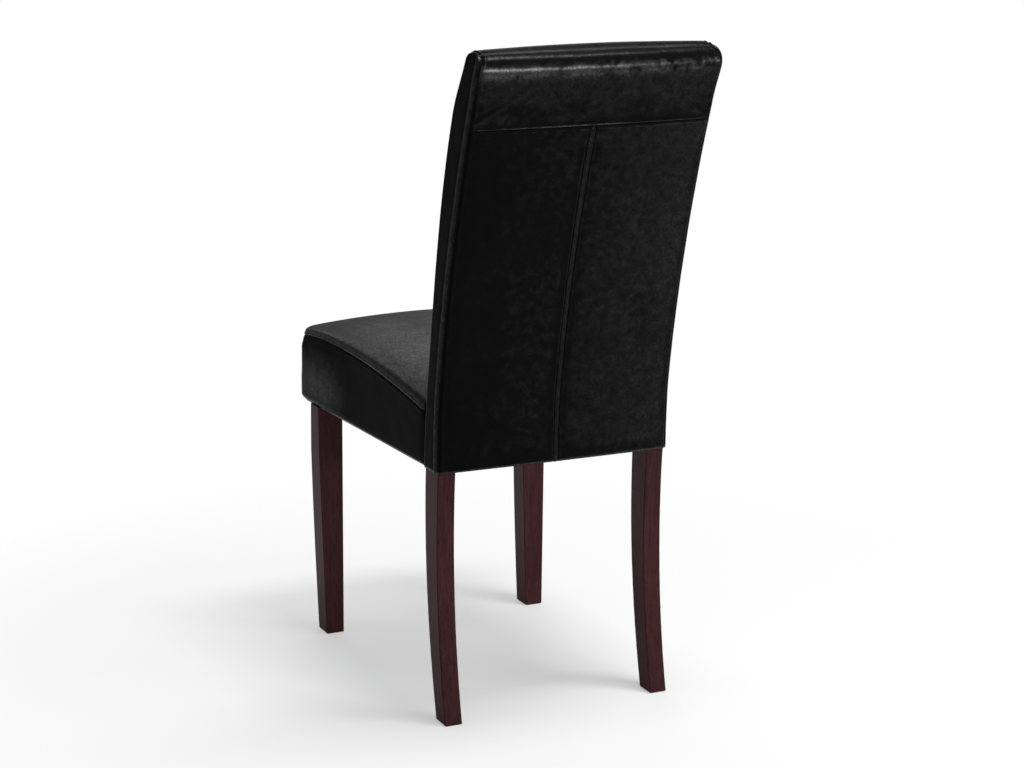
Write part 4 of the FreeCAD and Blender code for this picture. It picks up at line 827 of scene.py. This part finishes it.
band_lift = sewn(run_mm, 0.9, 1.2, 2.6, 1.3) - 0.3 * bell(run_mm, 5.4, 1.2)
band_lift += rounder(band_below, band_turn, past_mm) - lies_out
band_lift += sewn(end_mm) + sewn(to_front_seam, lip_at=3.2)
band_free = smooth(run_mm / 18.0) * smooth(end_mm / 15.0) * smooth(to_front_seam / 12.0)
swell = 0.8 * rumple(x_mm, run_mm, 60.0, 21.0) + 0.3 * rumple(x_mm, run_mm, 20.0, 25.0)
swell_share = 1 - 0.75 * bell(height_mm, roll_start + 9.0, 16.0)
band_lift += band_free * swell_share * (0.9 + swell)
band_lift += 0.7 * gathers(run_mm, 9.0, 4.0) * rumple(x_mm, run_mm * 0.4, 9.0, 28.0)
band_lift += 0.8 * gathers(end_mm, 9.0, 3.0) * rumple(end_mm * 0.4, run_mm, 7.0, 30.0)
band_lift += crease(x_mm, height_mm, (181.0, 897.0), (134.0, 926.0), 3.4, 1.5)
band_lift += crease(x_mm, height_mm, (142.0, 881.0), (131.0, 903.0), 2.4, 1.2)
band_lift += crease(x_mm, height_mm, (-176.0, 893.0), (-146.0, 912.0), 3.0, 1.0)
# Painted highlight: the colour is painted lighter in a band just under the roll, in spots along it and
# towards its left end, where the roll is also rubbed and glossier.
roll_highlight_zone = bell(height_mm, roll_start + 4.0, 9.0)
spots = 0.6 * rumple(x_mm, run_mm, 24.0, 35.0) + 0.7 * rumple(x_mm, run_mm, 8.0, 37.0)
band_wear_and_highlight = roll_highlight_zone * (0.52 + 0.3 * x_mm / back_half + spots) - 0.1
# The lip of the band's seam is painted lighter in its middle and darker towards its ends, as painted
# highlight and painted shade.
band_seam_painted_light = 0.7 * bell(x_mm, 22.0, 90.0) - 0.2 + 0.5 * rumple(x_mm, run_mm, 9.0, 39.0)
band_wear_and_highlight += band_seam_painted_light * bell(run_mm, 2.4, 1.0)
leather("leather_top_band", [(band_points, band_lift, None, band_wear_and_highlight)], ["back_cover_top_band"],
        ["back_foam_rear", "back_foam_top", "back_foam_front"])

# Sides of the back. A boxed strip on each side runs from the hem to the top, where it is turned in over the
# end of the roll and sewn to the band. A soft ridge lies along its rear edge, over the seam allowance.
side_rows = np.concatenate([rear_rows[:-1], spaced(roll_start - band_seam, 3, 4, 1.2, 4.0) + band_seam])
side_heights, side_turns = over_roll(side_rows, over)
turn_in = np.linspace(seam_turn, math.pi / 2, 12)
side_width = 42.0
side_shares = spaced(side_width, 4, 4, 0.8, 3.0)[1:-1] / side_width
side_columns = [(1, "rear_corner", angle) for angle in turn_in]
side_columns += [(1, "side", share) for share in side_shares]
side_columns += [(1, "front_corner", angle) for angle in turn_in[::-1]]
side_points = grid(Section(side_heights, side_turns), side_columns)
folded = side_points[-1].copy()
folded[:, 0] = back_half - end_roll - corner + corner * math.sin(seam_turn)
halfway = side_points[-1] + 0.5 * (folded - side_points[-1])
side_points = np.concatenate([side_points, halfway[None], folded[None]])
side_heights = np.concatenate([side_heights, [top, top]])[:, None]
side_turns = np.concatenate([side_turns, [math.pi / 2, math.pi / 2]])[:, None]
from_rear = run_along(side_points)
from_front = from_rear[:, -1:] - from_rear
h_mm = np.broadcast_to(side_heights, from_rear.shape)
from_top = np.clip(top + 2.0 - h_mm, 0, None)
below_mm = np.clip(roll_start - side_heights, 0, None)
side_edges = sewn(from_rear, lip=2.0, lip_at=7.0, lip_width=4.0) - 0.5 * bell(from_rear, 15.0, 3.0)
side_edges += sewn(from_front, lip=0.9, lip_at=3.8, lip_width=2.2)
side_edges += bell(from_rear, 0, 7.0) * (rounder(below_mm, side_turns, 0.0) - lies_out * (below_mm < 60.0))
side_free = smooth(from_rear / 12.0) * smooth(from_front / 12.0)
side_gathers = gathers(from_top, 14.0, 3.0) * smooth(from_rear / 4.0)
# The side's colour is painted lighter on the ridge by its rear edge, on a thin line by its front edge and
# along the hem, as painted highlights.
side_wear_and_light = 0.3 * bell(from_rear, 6.0, 3.6) + 0.35 * bell(from_front, 3.8, 1.8) - 0.2
side_wear_and_light += 0.7 * bell(h_mm - hem, 0.8, 1.8)
for sign, side_name, seed in ((1, "left", 41.0), (-1, "right", 57.0)):
    swell = 0.6 * rumple(from_rear * 1.6, h_mm, 48.0, seed) + 0.25 * rumple(from_rear, h_mm, 18.0, seed + 2)
    lift = side_edges + side_free * (0.3 + swell)
    lift += side_gathers * rumple(from_rear, h_mm * 0.3, 7.0, seed + 4)
    # The part that is folded in over the end of the roll lies nearly flat.
    lift[-2:] *= 0.3
    points = side_points * (sign, 1, 1)
    wear_and_light = side_wear_and_light
    if sign > 0:
        points, lift, wear_and_light = turned_round(points, lift, wear_and_light)
    leather(f"leather_side_{side_name}", [(points, lift, None, wear_and_light)], [f"back_cover_side_{side_name}"],
            ["back_foam_rear", "back_foam_top", "back_foam_front", f"back_side_wadding_{side_name}"])

# Front panel. The leather that the sitter leans on is crowned over the front foam. Below the seat's top it
# goes on behind the seat, and under the bottom of the back, where it is stapled round the posts.
panel_rows = spaced(roll_start - hem, 5, 3, 1.0, 5.0) + hem
panel_heights, panel_turns = over_roll(panel_rows, np.linspace(0, math.radians(50), 8)[1:])
panel_points = grid(Section(panel_heights, panel_turns), front_columns[::-1])
x_mm, h_mm = np.meshgrid(band_x[::-1], panel_heights)
end_mm = seam_mm - np.abs(x_mm)
below_top = top - h_mm
above_seat = smooth((h_mm - 486.0) / 30.0)
panel_free = smooth(end_mm / 25.0) * smooth(below_top / 25.0) * above_seat
panel_lift = panel_free * (1.4 + 1.0 * rumple(x_mm, h_mm, 95.0, 71.0) + 0.3 * rumple(x_mm, h_mm, 30.0, 74.0))
panel_lift += above_seat * sewn(end_mm, lip=0.8)
panel_lift += above_seat * 0.6 * gathers(end_mm, 9.0, 3.0) * rumple(end_mm * 0.4, h_mm, 10.0, 77.0)
under_share = np.linspace(0, 1, 13)
rear_edge = grid(Section(np.array([hem]), np.zeros(1)), band_columns[::-1])[0]
under_points = rear_edge + under_share[:, None, None] * (panel_points[0] - rear_edge)


def on_legs(points, leg_x, leg_y, half_width, half_depth):
    """Which faces of a grid lie on a pair of legs, one on either side."""
    middle = (points[:-1, :-1] + points[1:, 1:]) / 2
    across = np.abs(np.abs(middle[..., 0]) - leg_x) < half_width
    return across & (np.abs(middle[..., 1] - leg_y) < half_depth)


# The cut-outs for the posts are a little wider than the wood.
over_post = on_legs(under_points, 171.2, -21.2, 14.3, 13.8)
leather("leather_front", [
    (panel_points, panel_lift, None, 0.0),
    (under_points, np.full(under_points.shape[:2], -lies_out), ~over_post, 0.0)],
    ["back_cover_front_panel"], ["back_foam_front", "back_foam_top"])

# Form of the seat. Its sides taper towards the rear, the front is bowed between rounded corners, and the
# seam under the top panel arches from front to rear. A crown rises over the foam.
seat_front = -501.0
seat_rear = -49.8
seam_crest = seat_front + 121.0
crest_height = 495.0
front_drop = 10.5
rear_drop = 33.0
corner_radius = 28.0
front_bow = 4.0
seam_drop = 2.5
edge_rise = 6.0
crown_rise = 14.0
crown_half = 230.0
front_half = 202.0
taper = 16.0


def seam_height(y):
    """Height of the arched seam under the top panel."""
    fore = crest_height - front_drop * ((seam_crest - y) / (seam_crest - seat_front)) ** 2
    aft = crest_height - rear_drop * ((y - seam_crest) / (seat_rear - seam_crest)) ** 2
    return np.where(y < seam_crest, fore, aft)


def seat_half(y):
    """Half the width of the seat, which tapers towards the rear."""
    return front_half - taper * (y - seat_front) / (seat_rear - seat_front)


def crowned(x, y):
    """Height of the seat's top before its edges are rounded."""
    return seam_height(y) + edge_rise + crown_rise * (1 - (x / crown_half) ** 2)


wide = seat_half(seat_front + corner_radius)
side_line = [(seat_half(y), y) for y in np.linspace(seat_rear, seat_front + corner_radius, 240)]
toe = wide - corner_radius
turn_line = [
    (toe + corner_radius * math.cos(a), seat_front + corner_radius - corner_radius * math.sin(a))
    for a in np.linspace(0, math.pi / 2, 50)[1:]]
bow_line = [(x, seat_front - front_bow * (1 - (x / toe) ** 2)) for x in np.linspace(toe, -toe, 220)[1:-1]]
half_plan = side_line + turn_line
seat_plan = np.array(half_plan + bow_line + [(-x, y) for x, y in reversed(half_plan)])
plan_run = run_along(seat_plan)
side_run = plan_run[len(side_line) + len(turn_line) // 2]
round_run = plan_run[-1]
side_count = 150
front_count = 132
stations = np.concatenate([
    np.linspace(0, side_run, side_count + 1),
    np.linspace(side_run, round_run - side_run, front_count + 1)[1:],
    np.linspace(round_run - side_run, round_run, side_count + 1)[1:]])
outline_x = np.interp(stations, plan_run, seat_plan[:, 0])
outline_y = np.interp(stations, plan_run, seat_plan[:, 1])
tangent = np.stack([np.gradient(outline_x, stations), np.gradient(outline_y, stations)], axis=1)
tangent /= np.linalg.norm(tangent, axis=1, keepdims=True)
inward = np.stack([tangent[:, 1], -tangent[:, 0]], axis=1)
# At the rear ends of the outline the leather is drawn in straight across the seat.
inward[0] = (-1, 0)
inward[-1] = (1, 0)
inward[1:3, 1] = 0
inward[-3:-1, 1] = 0
seam_line = seam_height(outline_y) - seam_drop


def drawn_in(inset):
    """The outline of the seat, drawn in by a distance."""
    return outline_x + inward[:, 0] * inset, outline_y + inward[:, 1] * inset


def near_front(from_back):
    """Passes from 0 along the seat's sides to 1 round its front."""
    return smooth((from_back - 230.0) / 120.0)


# Boxing. One strip of leather goes round the front and both sides, its lower edge turned under the frame and
# stapled, its upper edge sewn to the top panel with the seam turned down.
hem_roll = 2.0
turned_under = 20.0
# The rows count from -1 at the edge under the frame, over 0 to 1 round the hem, to 2 at the seam.
boxing_rows = np.concatenate([[-1.0], np.linspace(0, 1, 5), spaced(1.0, 0.05, 0.16, 0.008, 0.045)[1:] + 1.0])
boxing_points = []
for row in boxing_rows:
    angle = np.clip(row, 0, 1) * math.pi / 2
    x, y = drawn_in(turned_under if row < 0 else hem_roll * (1 - math.sin(angle)))
    z = hem + hem_roll * (1 - math.cos(angle)) + (seam_line - hem - hem_roll) * max(row - 1.0, 0.0)
    boxing_points.append(np.stack([x, np.minimum(y, seat_rear), z], axis=1))
boxing_points = np.array(boxing_points)
s_mm = np.broadcast_to(stations, boxing_points.shape[:2])
z_mm = boxing_points[..., 2]
from_seam = seam_line - z_mm
from_hem = z_mm - hem
from_back = np.minimum(s_mm, round_run - s_mm)
at_front = near_front(from_back)
boxing_lift = sewn(from_seam, 1.4, 0.45, 4.2, 2.4)
boxing_free = smooth((from_seam + 4.0) / 26.0) * smooth((from_hem + 1.0) / 13.0) * smooth(from_back / 14.0)
bulge = 1.4 + 6.2 * at_front
boxing_lift += boxing_free * (
    bulge + 1.0 * rumple(s_mm, z_mm, 75.0, 91.0) + 0.35 * rumple(s_mm, z_mm, 26.0, 94.0))
boxing_lift += (1.8 + 0.9 * at_front) * (1 - smooth(from_seam / 26.0))
under_seam = gathers(from_seam, 12.0, 5.0) * smooth(from_back / 10.0) * (0.5 + 0.8 * at_front)
boxing_lift += under_seam * rumple(s_mm + 0.6 * z_mm, z_mm * 0.3, 8.0, 97.0)
over_hem = gathers(from_hem, 8.0, 5.0, peak=8.0, blank=4.0)
boxing_lift += 0.35 * over_hem * rumple(s_mm, z_mm * 0.3, 11.0, 99.0)
boxing_lift[0] = -lies_out
boxing_lift *= smooth(from_back / 6.0)
over_leg = on_legs(boxing_points, 178.0, -442.75, 18.0, 17.0)
# Only the rows that are turned under the frame are cut out round the legs.
over_leg[3:] = False
# The boxing's colour is painted lighter along the turned hem, as a painted highlight, and a little lighter
# over the middle of its front.
boxing_wear_and_light = 0.9 * bell(from_hem, 2.0, 1.4) + 0.26 * at_front * bell(from_hem, 36.0, 42.0) - 0.25
boxing = turned_round(boxing_points, boxing_lift, ~over_leg, boxing_wear_and_light)
seat_padding = ["seat_foam", "seat_front_foam", "seat_side_foam_left", "seat_side_foam_right"]
leather("leather_seat_boxing", [boxing], ["seat_cover_boxing"], seat_padding)

# Top panel of the seat. The leather is drawn over the crowned foam and its soft shoulders, and is slackest
# in the middle. The rim follows the outline, and the rest is woven between the rim's four sides.
shoulder_radius = 6.0
rim_points = []
rim_travel = []
wall = crowned(outline_x, outline_y) - shoulder_radius - seam_line
for step in np.linspace(0, 1, 7):
    rim_points.append(np.stack([outline_x, outline_y, seam_line + wall * step], axis=1))
    rim_travel.append(wall * step)
turns = np.linspace(0, math.pi / 2, 11)[1:]
rim_places = [(shoulder_radius * (1 - math.cos(turn)), shoulder_radius * (1 - math.sin(turn)),
               shoulder_radius * turn) for turn in turns]
rim_places += [(inset, 0.0, shoulder_radius * math.pi / 2 + inset - shoulder_radius)
               for inset in (7.5, 9.5, 12.0, 15.0, 18.5, 22.0)]
for inset, drop, travel in rim_places:
    x, y = drawn_in(inset)
    rim_points.append(np.stack([x, y, crowned(x, y) - drop], axis=1))
    rim_travel.append(wall + travel)
rim_points = np.array(rim_points)
rim_travel = np.array(rim_travel)
s_mm = np.broadcast_to(stations, rim_travel.shape)
from_back = np.minimum(s_mm, round_run - s_mm)
at_front = near_front(from_back)
rim_lift = sewn(rim_travel, 1.4, 0.9, 2.8, 1.4)
beside_seam = gathers(rim_travel, 5.0, 4.0, peak=5.0) * smooth((26.0 - rim_travel) / 8.0)
rim_lift += 0.5 * beside_seam * rumple(s_mm, rim_travel * 0.4, 12.0, 103.0)
seam_stand = (1.8 + 0.9 * at_front) * smooth(from_back / 6.0)
rim_lift += seam_stand * (1 - smooth((rim_travel - 1.0) / 14.0))
rim_lift *= smooth((28.0 - rim_travel) / 8.0)
# The rim's colour is painted lighter on the lip beside the seam, except round the front, and on a band
# further in, as a painted sheen.
rim_wear_and_light = 0.3 * bell(rim_travel, 2.6, 1.1) * (1 - at_front) + 0.2 * bell(rim_travel, 6.5, 3.6)

# The rest of the panel, between the rim's inner edge and the seat's rear edge.
inner_rim = rim_points[-1]
left_edge = inner_rim[:side_count + 1]
front_edge = inner_rim[side_count:side_count + front_count + 1]
right_edge = inner_rim[side_count + front_count:][::-1]
u, v = np.meshgrid(np.linspace(0, 1, front_count + 1), np.linspace(0, 1, side_count + 1))
across = u[..., None]
along = v[..., None]
rear_edge = left_edge[0] + across[0] * (right_edge[0] - left_edge[0])
side_part = left_edge[:, None] * (1 - across) + right_edge[:, None] * across
long_part = rear_edge * (1 - along) + front_edge * along
corner_part = (1 - along) * ((1 - across) * rear_edge[0] + across * rear_edge[-1])
corner_part = corner_part + along * ((1 - across) * front_edge[0] + across * front_edge[-1])
woven = side_part + long_part - corner_part
woven[..., 2] = crowned(woven[..., 0], woven[..., 1])
puff = smooth(np.minimum(u, 1 - u) / 0.3) * smooth((1 - v) / 0.3) * smooth(v / 0.12)
woven_lift = puff * (0.3 + 0.9 * rumple(woven[..., 0], woven[..., 1], 110.0, 111.0)
                     + 0.3 * rumple(woven[..., 0], woven[..., 1], 38.0, 113.0))
# The colour of the seat's top is painted lighter towards its right side and its rear, as a painted sheen.
seat_painted_sheen = smooth(v / 0.1) * smooth(u / 0.1) * (0.06 - 0.08 * v + 0.18 * u)
rim = turned_round(rim_points, rim_lift, rim_wear_and_light)
leather("leather_seat_top", [(rim[0], rim[1], None, rim[2]), (woven, woven_lift, None, seat_painted_sheen)],
        ["seat_cover_top_panel"], seat_padding)

# Rear strip of the seat's cover. A plain piece of leather faces the back and is pressed flat between seat and
# back, with the bolts through it.
strip_x, strip_share = np.meshgrid(np.linspace(185.4, -185.4, 93), np.linspace(0, 1, 25))
strip_y = np.full_like(strip_x, seat_rear)
strip_top = crowned(strip_x, strip_y) - 0.4
strip_low = hem + 1.0
strip_z = strip_low + strip_share * (strip_top - strip_low)
strip_lift = -0.35 - 0.2 * rumple(strip_x, strip_z, 30.0, 121.0)
strip = (np.stack([strip_x, strip_y, strip_z], axis=2), strip_lift, None, 0.0)
leather("leather_seat_rear_strip", [strip], ["seat_cover_rear_strip"], [], wall=0.8)

# Dust cover. Black spun cambric, thin and slightly fibrous, closes the seat frame from below and is stapled
# to its rails.
spun = Finish("spun_cambric")
spun_fibres = spun.clouds(spun.place((1.0, 0.5, 1.0)), 800.0, 5.0, 0.7)
spun_dots = spun.cells(spun.place(), 420.0)
spun.surface(
    Base_Color=spun.mix(spun_fibres, (0.006, 0.006, 0.006, 1), (0.028, 0.028, 0.028, 1)),
    Roughness=spun.mapped(spun_fibres, 0.2, 0.8, 0.85, 1.0),
    Normal=spun.relief(spun_fibres * 0.6 + spun_dots * 0.4, 0.0002, 0.6))
finish_nodes(spun.owner, "dust_cover")

# Staples. They are bent from zinc-plated wire and driven through the cambric into the seat rails, between
# the legs.
cambric_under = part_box("dust_cover")[0][2] * 1000 - 0.2
staple_pitch = 27.0
from_side = 15.0


def staple_line(x, y):
    """Points along a row of staples, just under the cambric."""
    return np.stack(np.broadcast_arrays(x, y, cambric_under), axis=1)


rail_y = np.linspace(-418.0, -76.0, 40)
rail_x = np.linspace(-150.0, 150.0, 40)
staple_lines = [staple_line(sign * (seat_half(rail_y) - from_side), rail_y) for sign in (1, -1)]
staple_lines += [staple_line(rail_x, y) for y in (seat_front + 13.0, seat_rear - 17.0)]
staple_tree = repeated_along("staples_along_an_edge", False)
staples = along_lines("staples_dust_cover", staple_tree, staple_lines, staple_pitch,
                      (0.55, 0.55, 5.0), 0.04, plated.owner)
